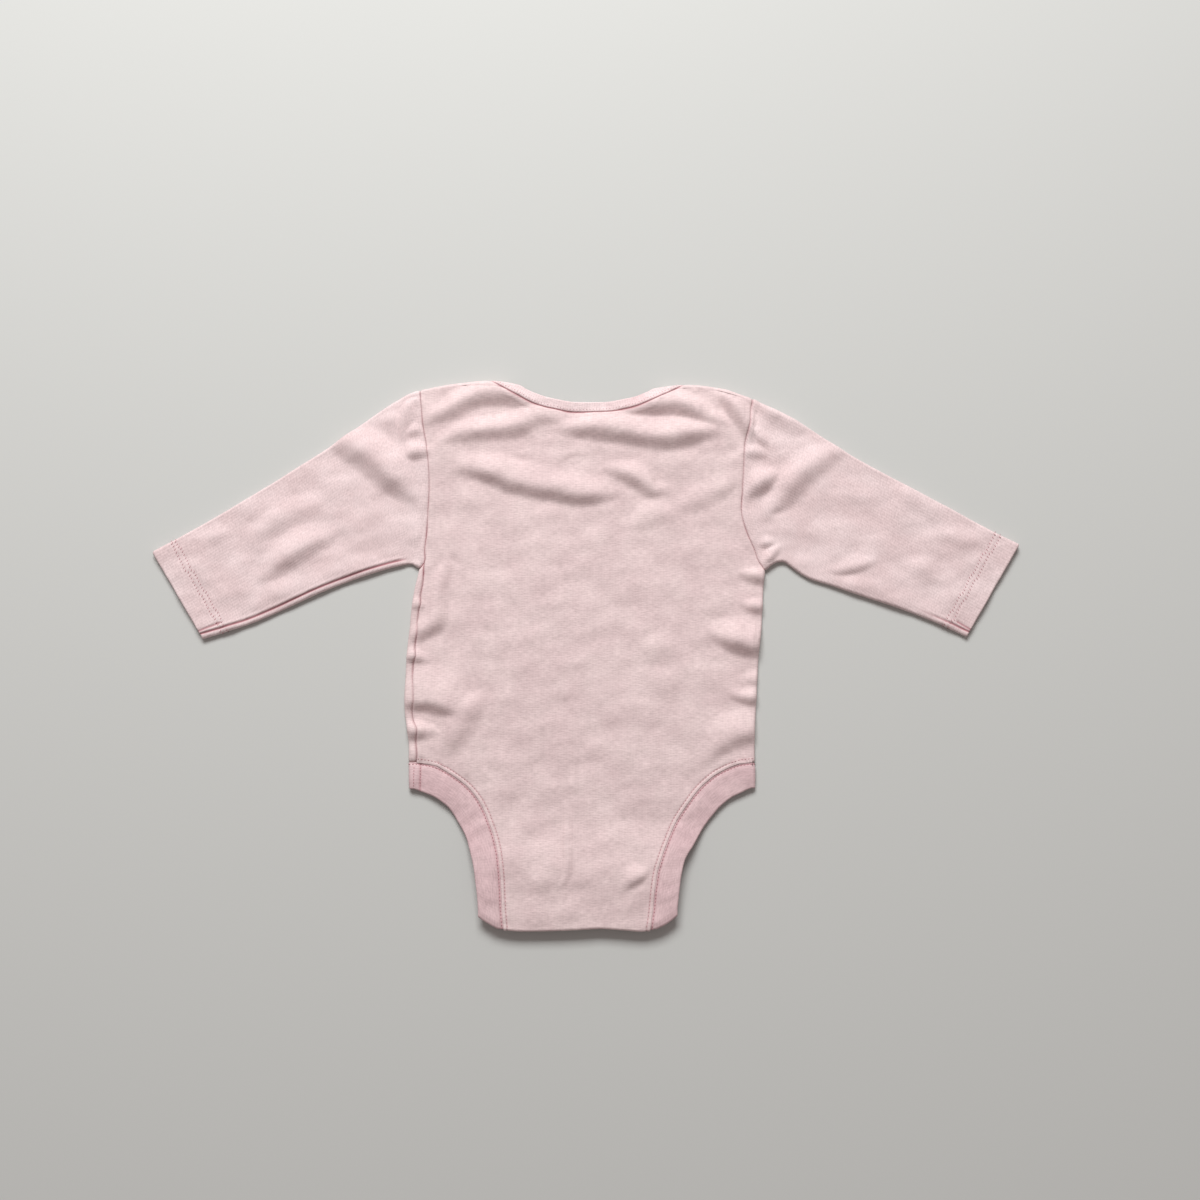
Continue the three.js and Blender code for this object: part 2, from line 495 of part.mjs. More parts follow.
// Outer face of the knit: the back, whose shoulders and crotch tab turn under the front.
function backPanel() {
  const cloth = new Cloth();
  const across = (start, end, shares) => shares.map((at) => {
    const x = mix(start[0], end[0], at);
    const y = mix(start[1], end[1], at);
    return { id: cloth.add({ x, y, z: upperHeight(x, y) }), at };
  });

  const crotchY = LEG_SEAMS.at(-1).y;
  const crotchEnds = [legSeam(left, crotchY) + halfGap, legSeam(right, crotchY) - halfGap];
  const tabRows = TAB_ROWS.map((pastOf) => steps(CROTCH_COLUMNS).map((at) => {
    const x = mix(...crotchEnds, at);
    return { id: cloth.add(tabPoint(x, pastOf)), at };
  }));
  tabRows.slice(1).forEach((row, i) => cloth.fill(tabRows[i], row));

  let last = tabRows.at(-1);
  for (const { y } of LEG_SEAMS.slice(1, -1).reverse()) {
    const columns = y < -115 ? CROTCH_COLUMNS : SEAT_COLUMNS;
    const ends = [legSeam(left, y) + halfGap, legSeam(right, y) - halfGap];
    const row = across([ends[0], y], [ends[1], y], steps(columns));
    cloth.fill(last, row);
    last = row;
  }

  // The trunk: its left edge is the side seam, and its right edge turns under to the other one.
  for (const y of [...SIDE_ROWS, left.underarmY]) {
    const isUnderarm = y === left.underarmY;
    const leftSide = sideFold(left, y);
    const rightSide = sideFold(right, isUnderarm ? right.underarmY : y);
    const inset = isUnderarm ? CORNER_INSET : SIDE_SEAM_INSET - leftSide.radius - WALL / 2;
    const seam = roundFold(leftSide, -inset - halfGap);
    const row = across([seam.x, seam.y], [rightSide.x, rightSide.y], steps(TRUNK_COLUMNS));
    const turns = FOLD_TURNS.map((share) => share * halfTurn(rightSide));
    [...turns, halfTurn(rightSide) + CORNER_INSET].forEach((past, i) => {
      const point = roundFold(rightSide, past);
      const face = isUnderarm ? point.face : null;
      row.push({ id: cloth.add(point, WALL / 2, WALL / 2, face), at: 1 + i + 1 });
    });
    cloth.fill(last, y === SIDE_ROWS[0] ? row.slice(0, TRUNK_COLUMNS + 1) : row);
    last = isUnderarm ? row.slice(0, TRUNK_COLUMNS + 1) : row;
  }

  // Between the armholes, where the rows bend down towards the neck.
  const shares = topColumns.map((x) => (x - topColumns[0]) / (topColumns.at(-1) - topColumns[0]));
  for (const share of ARMHOLE_ROWS) {
    const [startX, leftY] = armholePoint(left, share);
    const [endX, rightY] = armholePoint(right, share);
    const columns = share > 0.9 ? shares : steps(share > 0.7 ? TRUNK_COLUMNS + 4 : TRUNK_COLUMNS);
    const row = columns.map((at) => {
      const topX = mix(topColumns[0], topColumns.at(-1), at);
      const neckY = read(BACK_NECK, "from", "y", Math.abs(topX - NECK_MIDDLE));
      const topY = Math.min(neckY, shoulderFold(topX).y);
      const sag = topY - mix(armholes.left.shoulder.y, armholes.right.shoulder.y, at);
      const x = mix(startX, endX, at);
      const y = mix(leftY, rightY, at) + sag * Math.max(0, 2 * share - 1);
      const face = share === 1 ? [0, 0, 1] : null;
      return { id: cloth.add({ x, y, z: upperHeight(x, y) }, WALL / 2, WALL / 2, face), at };
    });
    cloth.fill(last, row);
    last = row;
  }

  // The shoulder laps, whose columns all end at the bound edge.
  for (const half of [left, right]) {
    const stacks = laps[half.column].map((column, i) => {
      const topId = half === left ? last[i].id : last[last.length - 1 - i].id;
      const ids = [topId];
      let edgeId = column.limit < 0.02 ? topId : null;
      for (const past of column.pasts) {
        if (edgeId === null) {
          const x = column.xAt(past);
          const point = roundFold(shoulderFold(x), past);
          const id = cloth.add(point, WALL / 2, WALL / 2, point.face);
          if (past >= column.limit) edgeId = id;
          ids.push(id);
        } else {
          ids.push(edgeId);
        }
      }
      return ids;
    });
    for (let k = 1; k < stacks[0].length; k += 1) {
      const lower = stacks.map((ids, at) => ({ id: ids[k - 1], at }));
      const upper = stacks.map((ids, at) => ({ id: ids[k], at }));
      cloth.fill(lower, upper, half === right);
    }
  }
  return cloth.solid();
}

const FRONT_TOP = ARMHOLE_ROWS.at(-2);
const NECK_BEND_START = 0.3; // share of the armhole above which the rows bend down to the front neck

const LAP_SLOPE = 0.74; // distance square to a lap's edge for each millimetre of y
const LAP_BINDING = { across: 4.4, along: 5.3 }; // from the seam of a lap to the edge of its binding

// Where the bound edge of a shoulder lap lies in plan, under the front.
function lapEdgeY(x) {
  const from = Math.abs(x - NECK_MIDDLE);
  const fold = shoulderFold(x);
  const past = read(BACK_NECK, "from", "y", from + LAP_BINDING.across) + LAP_BINDING.along - fold.y;
  return past < halfTurn(fold) ? fold.y : fold.y - (past - halfTurn(fold));
}

// Middle height of the front, which rises over the shoulder laps and over the snap caps.
function frontHeight(x, y) {
  const overLap = ramp((y - lapEdgeY(x)) * LAP_SLOPE, LAP_RAMP);
  const overCaps = ramp(y, CAP_RAMP);
  return LOWER_MID + (SHOULDER_LAP_LEVEL - LOWER_MID) * overLap + FLAP_LIFT * overCaps;
}

// Leg seam of the front at a height, from the edge of the flap out to the side of the body.
function frontLegX(half, y) {
  const side = sideFold(half, FRONT_LEG_SEAM[0].y);
  const inner = half === right ? side.x - CORNER_INSET - SEAM_GAP : side.x;
  const share = read(FRONT_LEG_SEAM, "y", "share", y);
  return CROTCH_MIDDLE + half.sign * mix(FLAP_HALF_WIDTH, Math.abs(inner - CROTCH_MIDDLE), share);
}

// The front panel, which lies on the surface and turns up over the left side to the side seam.
function frontPanel() {
  const cloth = new Cloth();
  const lower = (x, y) => cloth.add({ x, y, z: frontHeight(x, y) });
  const across = (start, end, columns) => steps(columns).map((at) => ({
    id: lower(mix(start[0], end[0], at), mix(start[1], end[1], at)),
    at,
  }));

  let last = null;
  for (const { y } of FRONT_LEG_SEAM.slice(1).reverse()) {
    const ends = [frontLegX(left, y) + halfGap, frontLegX(right, y) - halfGap];
    const row = across([ends[0], y], [ends[1], y], y < FLAP_TOP ? FLAP_COLUMNS : FRONT_COLUMNS);
    if (last) cloth.fill(last, row, true);
    last = row;
  }

  for (const y of [...SIDE_ROWS, left.underarmY]) {
    const isUnderarm = y === left.underarmY;
    const leftSide = sideFold(left, y);
    const rightSide = sideFold(right, isUnderarm ? right.underarmY : y);
    const inset = isUnderarm ? CORNER_INSET : SIDE_SEAM_INSET - leftSide.radius - WALL / 2;
    const turns = [0, ...FOLD_TURNS].map((share) => share * halfTurn(leftSide));
    const row = [-inset + halfGap, ...turns].map((past, i) => {
      const point = roundFold(leftSide, past);
      const face = isUnderarm ? point.face : null;
      return { id: cloth.add(point, WALL / 2, WALL / 2, face), at: i - turns.length };
    });
    const seam = roundFold(rightSide, halfTurn(rightSide) + CORNER_INSET + SEAM_GAP);
    row.push(...across([leftSide.x, leftSide.y], [seam.x, seam.y], FRONT_COLUMNS).slice(1));
    cloth.fill(last, y === SIDE_ROWS[0] ? row.slice(turns.length) : row, true);
    last = isUnderarm ? row.slice(turns.length) : row;
  }

  for (const share of ARMHOLE_ROWS.slice(0, -1)) {
    const [startX, startY] = armholePoint(left, share);
    const [endX, endY] = armholePoint(right, share);
    const row = steps(share > 0.5 ? FRONT_NECK_COLUMNS : FRONT_COLUMNS).map((at) => {
      const x = mix(startX, endX, at);
      const drop = read(FRONT_NECK, "from", "drop", Math.abs(x - NECK_MIDDLE));
      const bend = Math.max(0, (share - NECK_BEND_START) / (FRONT_TOP - NECK_BEND_START));
      return { id: lower(x, mix(startY, endY, at) - drop * bend), at };
    });
    cloth.fill(last, row, true);
    last = row;
  }
  return cloth.solid();
}

// A strip of cloth through stations, each a list of { point, outer, inner } across its width.
function strip(stations, reversed) {
  const cloth = new Cloth();
  const rows = stations.map((station) => station.map(({ point, outer, inner, face }, i) => ({
    id: cloth.add(point, outer, inner, face),
    at: i,
  })));
  rows.slice(1).forEach((row, i) => cloth.fill(rows[i], row, reversed));
  return cloth.solid();
}

// Trim is thicker than the cloth: outwards on the upper layer, inwards where it lies underneath.
const trimmed = (point) => ({
  point,
  outer: WALL / 2 + TRIM_EXTRA * (1 - point.turn),
  inner: WALL / 2 + TRIM_EXTRA * point.turn,
});

// Unit vector to the left of a path of points at one of them.
function leftOf(path, i) {
  const before = path[Math.max(0, i - 1)];
  const after = path[Math.min(path.length - 1, i + 1)];
  const length = Math.hypot(after[0] - before[0], after[1] - before[1]);
  return [-(after[1] - before[1]) / length, (after[0] - before[0]) / length];
}

const TRIM_COLUMNS = [0, 0.33, 0.67, 1];

// Where the neck seam turns over the shoulder fold the binding has closer rows of points.
const TURN_ZONE = { from: 40, to: 57, rows: 3 };
const BINDING_END = [0.2, 1.3]; // how its ends are cut at the armholes, across and along

// Binding of the back neck, which runs on along both shoulder laps to the armholes.
function backBinding() {
  const lapEdge = (column) => {
    const x = column.xAt(column.limit);
    return [x, shoulderFold(x).y + column.limit];
  };
  const neck = topColumns.slice(laps.left.length, -laps.right.length);
  const seam = [
    ...laps.left.map(lapEdge),
    ...neck.map((x) => [x, read(BACK_NECK, "from", "y", Math.abs(x - NECK_MIDDLE))]),
    ...laps.right.map(lapEdge).reverse(),
  ];
  const dense = seam.flatMap((point, i) => {
    const next = seam[i + 1];
    if (!next) return [point];
    const from = Math.abs((point[0] + next[0]) / 2 - NECK_MIDDLE);
    const count = from > TURN_ZONE.from && from < TURN_ZONE.to ? TURN_ZONE.rows : 1;
    return steps(count).slice(0, -1).map((t) => [mix(point[0], next[0], t), mix(point[1], next[1], t)]);
  });
  const stations = dense.map(([x, y], i) => {
    const isEnd = i === 0 || i === dense.length - 1;
    const side = isEnd ? [-Math.sign(x) * BINDING_END[0], BINDING_END[1]] : leftOf(dense, i);
    return TRIM_COLUMNS.map((share) => {
      const width = mix(NECK_GAP, BINDING_WIDTH + NECK_GAP, share);
      const point = shoulderPoint(x + side[0] * width, y + side[1] * width);
      return { ...trimmed(point), face: point.face };
    });
  });
  return strip(stations, true);
}

// Binding of the front neck, from armhole to armhole.
function frontBinding() {
  const start = armholePoint(left, FRONT_TOP);
  const end = armholePoint(right, FRONT_TOP);
  const seam = steps(32).map((share) => {
    const x = mix(start[0] + 1, end[0] - 1, share);
    const drop = read(FRONT_NECK, "from", "drop", Math.abs(x - NECK_MIDDLE));
    return [x, mix(start[1], end[1], share) - drop];
  });
  const stations = seam.map(([x, y], i) => TRIM_COLUMNS.map((share) => {
    const side = leftOf(seam, i);
    const width = mix(SEAM_GAP, BINDING_WIDTH + SEAM_GAP, share);
    const at = [x + side[0] * width, y + side[1] * width];
    return trimmed({ x: at[0], y: at[1], z: frontHeight(...at), turn: 1 });
  }));
  return strip(stations, false);
}

// Band round one leg, from the end of the crotch tab over the back and the side to the front flap.
function legBand(half) {
  const crotchY = LEG_SEAMS.at(-1).y;
  const seamX = legSeam(half, crotchY) + half.sign * halfGap;
  const edgePath = pathOf(LEG_EDGES, half.column).reverse();
  const tab = TAB_ROWS.map((pastOf) => TRIM_COLUMNS.map((share) => {
    const point = tabPoint(mix(seamX, edgePath[0][0], share), pastOf);
    return { point, outer: WALL / 2 + TRIM_EXTRA / 2, inner: WALL / 2 };
  }));

  const seamPath = LEG_SEAMS.map(({ y }) => [legSeam(half, y), y]).reverse();
  const lengths = seamPath.map(([x, y], i) => {
    const [beforeX, beforeY] = seamPath[Math.max(0, i - 1)];
    return Math.hypot(x - beforeX, y - beforeY);
  });
  const total = lengths.reduce((sum, length) => sum + length, 0);
  let travelled = lengths[0];
  const arch = seamPath.slice(1).map(([x, y], i) => {
    travelled += lengths[i + 1];
    const side = leftOf(seamPath, i + 1);
    const start = [x - half.sign * side[0] * halfGap, y - half.sign * side[1] * halfGap];
    const edge = along(edgePath, travelled / total);
    return TRIM_COLUMNS.map((share) => {
      const at = [mix(start[0], edge[0], share), mix(start[1], edge[1], share)];
      return trimmed({ x: at[0], y: at[1], z: upperHeight(...at), turn: 0 });
    });
  });

  const topY = LEG_SEAMS[0].y - SEAM_GAP;
  const edgeY = edgePath.at(-1)[1];
  const turn = [...(half === left ? [0] : []), ...FOLD_TURNS].map((turned) => TRIM_COLUMNS.map((share) => {
    const fold = sideFold(half, mix(topY, edgeY, share));
    return trimmed(roundFold(fold, turned * halfTurn(fold)));
  }));

  const frontPath = FRONT_LEG_SEAM.map(({ y }) => [frontLegX(half, y), y]);
  const front = frontPath.slice(1).map(([x, y], i) => {
    const isEnd = i === frontPath.length - 2;
    const outward = isEnd ? [half.sign, 0] : leftOf(frontPath, i + 1).map((one) => half.sign * one);
    return TRIM_COLUMNS.map((share) => {
      const width = mix(halfGap, BAND_WIDTH, share);
      const at = [x + outward[0] * width, y + outward[1] * width];
      return trimmed({ x: at[0], y: at[1], z: frontHeight(...at), turn: 1 });
    });
  });
  return strip([...tab, ...arch, ...turn, ...front], half === left);
}

// Shares of a sleeve's length, before its turned hem, at which it has a ring of points.
const SLEEVE_RINGS = [
  0.035, 0.08, 0.13, 0.19, 0.255, 0.325, 0.395, 0.465, 0.535, 0.605, 0.675, 0.745, 0.82, 0.91, 1,
];
const HEM_RINGS = [0.04, 0.5, 1]; // shares of the hem's own depth
const RING_COLUMNS = 9;
const UNDER_COLUMNS = 6;

// Shares of a ring taken by one layer and by one folded edge.
const LAYER_SHARE = 0.42;
const EDGE_SHARE = 0.08;

const pathLength = (path) => path.slice(1).reduce(
  (sum, [x, y], i) => sum + Math.hypot(x - path[i][0], y - path[i][1]),
  0,
);

// Unit vector out of a sleeve's folded edge in plan.
function edgeFace(path, share, start, sign) {
  const before = along(path, Math.max(0, share - 0.03));
  const after = along(path, Math.min(1, share + 0.03));
  const length = Math.hypot(after[0] - before[0], after[1] - before[1]);
  const face = [(sign * (after[1] - before[1])) / length, (sign * (before[0] - after[0])) / length];
  const turned = smooth(share / 0.1);
  const mixed = [mix(start[0], face[0], turned), mix(start[1], face[1], turned)];
  const size = Math.hypot(...mixed);
  return [mixed[0] / size, mixed[1] / size];
}

// One sleeve: a flat tube from the armhole to the open cuff.
function sleeve(half) {
  const cloth = new Cloth();
  const topPath = pathOf(SLEEVE_TOPS, half.column);
  const lowPath = pathOf(SLEEVE_BOTTOMS, half.column);
  const { shoulder, side, backCorner, frontCorner } = armholes[half.column];
  const seamPath = [...ARMHOLE_ROWS].reverse().map((share) => armholePoint(half, share));
  const corner = half === left ? backCorner : frontCorner;
  const bottom = [side.x, side.y];
  const shareOf = ([, y]) => (shoulder.y - y) / (shoulder.y - side.y);
  const aside = [half.sign * Math.abs(side.dy), Math.abs(side.dx)];

  const armholeRow = [];
  const addSeam = (point, out, at, face) => {
    const moved = { ...point, x: point.x + out[0] * SEAM_GAP, y: point.y + out[1] * SEAM_GAP };
    armholeRow.push({ id: cloth.add(moved, WALL / 2, WALL / 2, face), at });
  };
  const outOf = (path, i) => leftOf(path, i).map((one) => half.sign * one);
  const backPath = [...seamPath, ...(half === left ? [[corner.x, corner.y]] : []), bottom];
  backPath.forEach(([x, y], i) => {
    const isEnd = i === 0 || i === backPath.length - 1;
    const out = i === 0 ? [half.sign, 0] : isEnd ? aside : outOf(backPath, i);
    addSeam({ x, y, z: upperHeight(x, y) }, out, shareOf([x, y]) * LAYER_SHARE, isEnd ? [0, 0, 1] : null);
  });
  FOLD_TURNS.forEach((turned) => {
    const point = roundFold(side, turned * halfTurn(side));
    addSeam(point, aside, LAYER_SHARE + EDGE_SHARE * turned, point.face);
  });
  const frontPath = [...seamPath, ...(half === right ? [[corner.x, corner.y]] : []), bottom];
  for (let i = frontPath.length - 2; i > 0; i -= 1) {
    const [x, y] = frontPath[i];
    const at = 1 - EDGE_SHARE - shareOf([x, y]) * LAYER_SHARE;
    addSeam({ x, y, z: LOWER_MID }, outOf(frontPath, i), at, null);
  }
  [...FOLD_TURNS].reverse().forEach((turned) => {
    const point = roundFold(shoulder, turned * halfTurn(shoulder));
    addSeam(point, [half.sign, 0], 1 - EDGE_SHARE * turned, point.face);
  });
  armholeRow.push({ id: armholeRow[0].id, at: 1 });

  const seamPoint = (share) => {
    const y = mix(shoulder.y, side.y, share);
    const atEnd = share === 0 ? shoulder.x : side.x;
    return [share > 0 && share < 1 ? armholeX(half, y) : atEnd, y];
  };
  const stations = [
    ...SLEEVE_RINGS.map((share) => ({ share, hem: 0 })),
    ...HEM_RINGS.map((share) => ({ share: 1, hem: share })),
  ];
  let last = armholeRow;
  for (const { share, hem } of stations) {
    const shareOn = (path) => {
      const hemShare = CUFF_DEPTH / pathLength(path);
      return share * (1 - hemShare) + hem * hemShare;
    };
    const topFace = edgeFace(topPath, shareOn(topPath), [shoulder.dx, shoulder.dy], -half.sign);
    const lowFace = edgeFace(lowPath, shareOn(lowPath), [side.dx, side.dy], half.sign);
    const upperFold = foldAt(...along(topPath, shareOn(topPath)), ...topFace);
    const lowerFold = foldAt(...along(lowPath, shareOn(lowPath)), ...lowFace);
    const bow = (1 - shareOn(topPath)) ** 2;
    const inner = WALL / 2 + (hem > 0 ? HEM_EXTRA : 0);
    const flat = (t) => {
      const [seamX, seamY] = seamPoint(t);
      const bowX = (seamX - mix(shoulder.x, side.x, t)) * bow;
      const bowY = (seamY - mix(shoulder.y, side.y, t)) * bow;
      return [mix(upperFold.x, lowerFold.x, t) + bowX, mix(upperFold.y, lowerFold.y, t) + bowY];
    };
    const row = [];
    const add = (point, at) => row.push({ id: cloth.add(point, WALL / 2, inner), at });
    for (const t of steps(RING_COLUMNS)) {
      const [x, y] = flat(t);
      add({ x, y, z: upperHeight(x, y) }, t * LAYER_SHARE);
    }
    for (const turned of FOLD_TURNS) {
      add(roundFold(lowerFold, turned * halfTurn(lowerFold)), LAYER_SHARE + EDGE_SHARE * turned);
    }
    for (const t of steps(UNDER_COLUMNS).slice(1, -1)) {
      const [x, y] = flat(1 - t);
      add({ x, y, z: LOWER_MID }, LAYER_SHARE + EDGE_SHARE + LAYER_SHARE * t);
    }
    for (const turned of [...FOLD_TURNS].reverse()) {
      add(roundFold(upperFold, turned * halfTurn(upperFold)), 1 - EDGE_SHARE * turned);
    }
    row.push({ id: row[0].id, at: 1 });
    cloth.fill(last, row, half === left);
    last = row;
  }
  return cloth.solid();
}

// Closed body turned from a profile of [radius, height] that starts and ends on its middle line.
function turned(profile, x, y) {
  const sides = 16;
  const positions = [];
  const rings = profile.map(([radius, z]) => {
    const count = radius > 0 ? sides : 1;
    const first = positions.length / 3;
    for (let i = 0; i < count; i += 1) {
      const angle = (2 * Math.PI * i) / sides;
      positions.push(x + radius * Math.cos(angle), y + radius * Math.sin(angle), z);
    }
    return (i) => first + (count > 1 ? i % sides : 0);
  });
  const index = [];
  rings.slice(1).forEach((ring, k) => {
    const before = rings[k];
    for (let i = 0; i < sides; i += 1) {
      const corners = [[before(i), before(i + 1), ring(i)], [before(i + 1), ring(i + 1), ring(i)]];
      for (const corner of corners) if (new Set(corner).size === 3) index.push(...corner);
    }
  });
  const geometry = new THREE.BufferGeometry();
  geometry.setAttribute("position", new THREE.Float32BufferAttribute(positions, 3));
  geometry.setIndex(index);
  return geometry;
}

// Press studs, from the surface upwards: cap, post and socket on the front flap; stud, post and ring
// on the tab of the back. Each post goes through a hole in its cloth.
const POST_RADIUS = 1.6;
const HOLE_RADIUS = 1.9;
const CAP_PROFILE = [
  [0, 0], [4.3, 0], [4.75, 0.3], [4.5, 0.7], [POST_RADIUS, 0.7], [POST_RADIUS, 2.3], [4.2, 2.3],
  [4.2, 3.1], [1.5, 3.1], [1.5, 2.6], [0, 2.6],
];
const STUD_PROFILE = [
  [0, 2.9], [1.2, 2.9], [1.2, 3.4], [4.2, 3.4], [4.2, 3.9], [POST_RADIUS, 3.9],
  [POST_RADIUS, 5.5], [4.2, 5.5], [4.2, 6.0], [0, 6.0],
];
const TAB_HOLE = [3.9, 5.6];
const FLAP_HOLE = [0.6, 2.4];
const SNAP_XS = [-SNAP_SPACING, 0, SNAP_SPACING].map((from) => CROTCH_MIDDLE + from);

const wasm = await Module();
wasm.setup();

function manifoldOf(geometry) {
  const mesh = new wasm.Mesh({
    numProp: 3,
    vertProperties: new Float32Array(geometry.attributes.position.array),
    triVerts: new Uint32Array(geometry.index.array),
  });
  return new wasm.Manifold(mesh);
}

// Cuts a hole for each post between two heights.
function pierced(geometry, from, to) {
  let body = manifoldOf(geometry);
  for (const x of SNAP_XS) {
    const hole = turned([[0, from], [HOLE_RADIUS, from], [HOLE_RADIUS, to], [0, to]], x, SNAP_Y);
    body = body.subtract(manifoldOf(hole));
  }
  const { vertProperties, triVerts } = body.getMesh();
  const made = new THREE.BufferGeometry();
  made.setAttribute("position", new THREE.Float32BufferAttribute(vertProperties, 3));
  made.setIndex([...triVerts]);
  return made;
}

const root = new THREE.Group();
const knit = (colour) =>
  new THREE.MeshStandardMaterial({ color: colour, roughness: 0.95, metalness: 0 });
const steel = () => new THREE.MeshStandardMaterial({ color: 0xb9bcc0, roughness: 0.35, metalness: 1 });

function addPiece(name, geometry, material) {
  const mesh = new THREE.Mesh(geometry, material);
  mesh.name = name;
  root.add(mesh);
}

addPiece("back_panel", pierced(backPanel(), ...TAB_HOLE), knit(0xdcc7c6));
addPiece("front_panel", pierced(frontPanel(), ...FLAP_HOLE), knit(0xdcc7c6));
addPiece("sleeve_left", sleeve(left), knit(0xe0caca));
addPiece("sleeve_right", sleeve(right), knit(0xe0caca));
addPiece("back_neck_binding", backBinding(), knit(0xe6d2d1));
addPiece("front_neck_binding", frontBinding(), knit(0xe6d2d1));
addPiece("leg_band_left", legBand(left), knit(0xdabdbf));
addPiece("leg_band_right", legBand(right), knit(0xdabdbf));
SNAP_XS.forEach((x, i) => {
  addPiece("snap_cap_" + (i + 1), turned(CAP_PROFILE, x, SNAP_Y), steel());
  addPiece("snap_stud_" + (i + 1), turned(STUD_PROFILE, x, SNAP_Y), steel());
});

export default root;
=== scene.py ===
import bpy
import numpy as np
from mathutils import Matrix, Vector
from mathutils.bvhtree import BVHTree
from mathutils.kdtree import KDTree


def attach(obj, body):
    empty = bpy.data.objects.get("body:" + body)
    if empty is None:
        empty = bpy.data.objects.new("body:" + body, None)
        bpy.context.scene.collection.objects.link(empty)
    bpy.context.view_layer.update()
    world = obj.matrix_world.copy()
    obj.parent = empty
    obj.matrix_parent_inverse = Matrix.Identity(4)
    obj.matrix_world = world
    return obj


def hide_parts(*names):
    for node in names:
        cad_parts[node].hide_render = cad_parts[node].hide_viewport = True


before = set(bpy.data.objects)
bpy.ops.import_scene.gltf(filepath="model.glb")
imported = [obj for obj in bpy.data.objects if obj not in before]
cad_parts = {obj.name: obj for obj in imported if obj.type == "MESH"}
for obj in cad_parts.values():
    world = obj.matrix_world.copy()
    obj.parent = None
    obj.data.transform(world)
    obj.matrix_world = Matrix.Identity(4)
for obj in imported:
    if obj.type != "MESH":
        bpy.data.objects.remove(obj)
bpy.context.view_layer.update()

# The back of the bodysuit: one piece of fine cotton rib, cut with the back halves of the shoulder
# laps and with the crotch tab. Its laps and tab turn under, and it is sewn to its neighbours by
# overlocked seams. Everything is laid out in millimetres, y towards the neck and z upwards.

MM = 0.001
WALL = 1.0
SEAM_GAP = 0.06
LOWER_MID = WALL / 2
LAYER_SPACE = 1.0
LEAST_SPACE = 0.35
HEM_EXTRA = 0.5
SIDE_SEAM_INSET = 3.0
SHOULDER_LIFT = 1.4
CROTCH_LIFT = 4.3
CROTCH_FOLD_RADIUS = 1.05
TAB_END = -133
CROTCH_START = -161
CUFF_DEPTH = 14
SHOULDER_Y = 153
NECK_MIDDLE = 2.35
SHOULDER_RAMP = (94, 22)
SLEEVE_RAMP = (104, 32)
CROTCH_RAMP = (-99, -31)
CUFF_RAMP = (CUFF_DEPTH, 14)
EDGE_RAMP = (0, 5)
HALVES = {
    "left": {"sign": -1, "underarm": (-0.6, -0.8), "underarm_y": 48.3},
    "right": {"sign": 1, "underarm": (0.6, -0.8), "underarm_y": 47.1},
}


def table(columns, *rows):
    """Rows of numbers as one array for each named column."""
    return dict(zip(columns.split(), np.array(rows, float).T))


SIDES = table(
    "y left right",
    (48.3, -99.5, 107.2), (44, -100.4, 106.9), (35.6, -102.6, 106.4), (23.5, -104.2, 105.6),
    (11.4, -105.1, 104.8), (2.4, -106.0, 103.4), (-6.6, -106.6, 102.7), (-18.5, -107.0, 101.9),
    (-30.3, -107.2, 101.1), (-38, -106.9, 100.6), (-46, -105.6, 100.0), (-54, -104.5, 99.7),
    (-66, -103.9, 99.6), (-82, -103.3, 99.4),
)
ARMHOLES = table(
    "y left right",
    (157, -101.3, 103.0), (147, -100.2, 100.3), (136, -99.1, 99.0), (124, -96.9, 96.2),
    (112, -95.4, 95.5), (97, -94.7, 94.7), (81, -95.4, 94.0), (69, -96.0, 97.3),
    (59, -96.9, 101.5), (52, -96.8, 103.9), (48.5, -98.3, 106.2),
)
SHOULDERS = table(
    "x y",
    (-101.9, 157.9), (-95.8, 159.6), (-89.7, 160.8), (-83.6, 161.9), (-77.4, 162.7),
    (-71.3, 163.3), (-65.2, 163.5), (-59, 163.4), (-52.9, 162.9), (-42, 161.6), (46, 159.8),
    (52, 160.6), (59.4, 161.4), (66, 161.6), (72, 161.2), (76, 160.6), (82.1, 159.4),
    (88.2, 157.6), (94.3, 155.6), (101.7, 152.8),
)
BACK_NECK = table(
    "out y",
    (0, 143.9), (8, 144.0), (14, 144.5), (20, 145.6), (30.6, 148.1), (37, 150.6),
    (42.5, 153.3), (49.5, 156.9), (57, 161.3), (65, 167), (75, 173.8), (85, 180.2),
    (95, 186.3), (106, 192.6),
)
LEG_SEAMS = table(
    "y left right",
    (-66.9, -99.4, 98.1), (-67.6, -95.0, 91.5), (-68.6, -89.4, 87.9), (-71.0, -84.1, 82.2),
    (-74.2, -78.5, 76.2), (-78.4, -72.5, 70.9), (-83.2, -67.1, 65.9), (-88.8, -62.6, 61.4),
    (-95.0, -59.1, 57.0), (-102, -56.1, 52.6), (-110, -53.2, 48.9), (-119, -50.7, 45.2),
    (-129, -49.3, 41.9), (-140, -48.5, 40.0), (-151, -47.9, 38.9), (-164, -46.6, 36.9),
)
LEG_EDGES = table(
    "leftX leftY rightX rightY",
    (-100.6, -82.5, 97.4, -82.0), (-97.6, -83.6, 94.6, -83.0), (-94.3, -84.8, 91.0, -84.8),
    (-88.8, -87.0, 86.4, -87.0), (-83.9, -90.1, 81.9, -90.1), (-80.2, -93.2, 78.3, -93.2),
    (-77.4, -96.8, 75.6, -96.3), (-74.7, -101.2, 71.9, -100.7), (-71.9, -105.6, 69.2, -104.3),
    (-69.6, -110.0, 66.5, -108.6), (-67.1, -117.8, 62.8, -114.9), (-64.8, -126.4, 58.1, -122.2),
    (-63.5, -135.3, 55.6, -131.5), (-62.3, -144.1, 54.2, -141.5), (-61.7, -152.0, 53.1, -150.6),
)
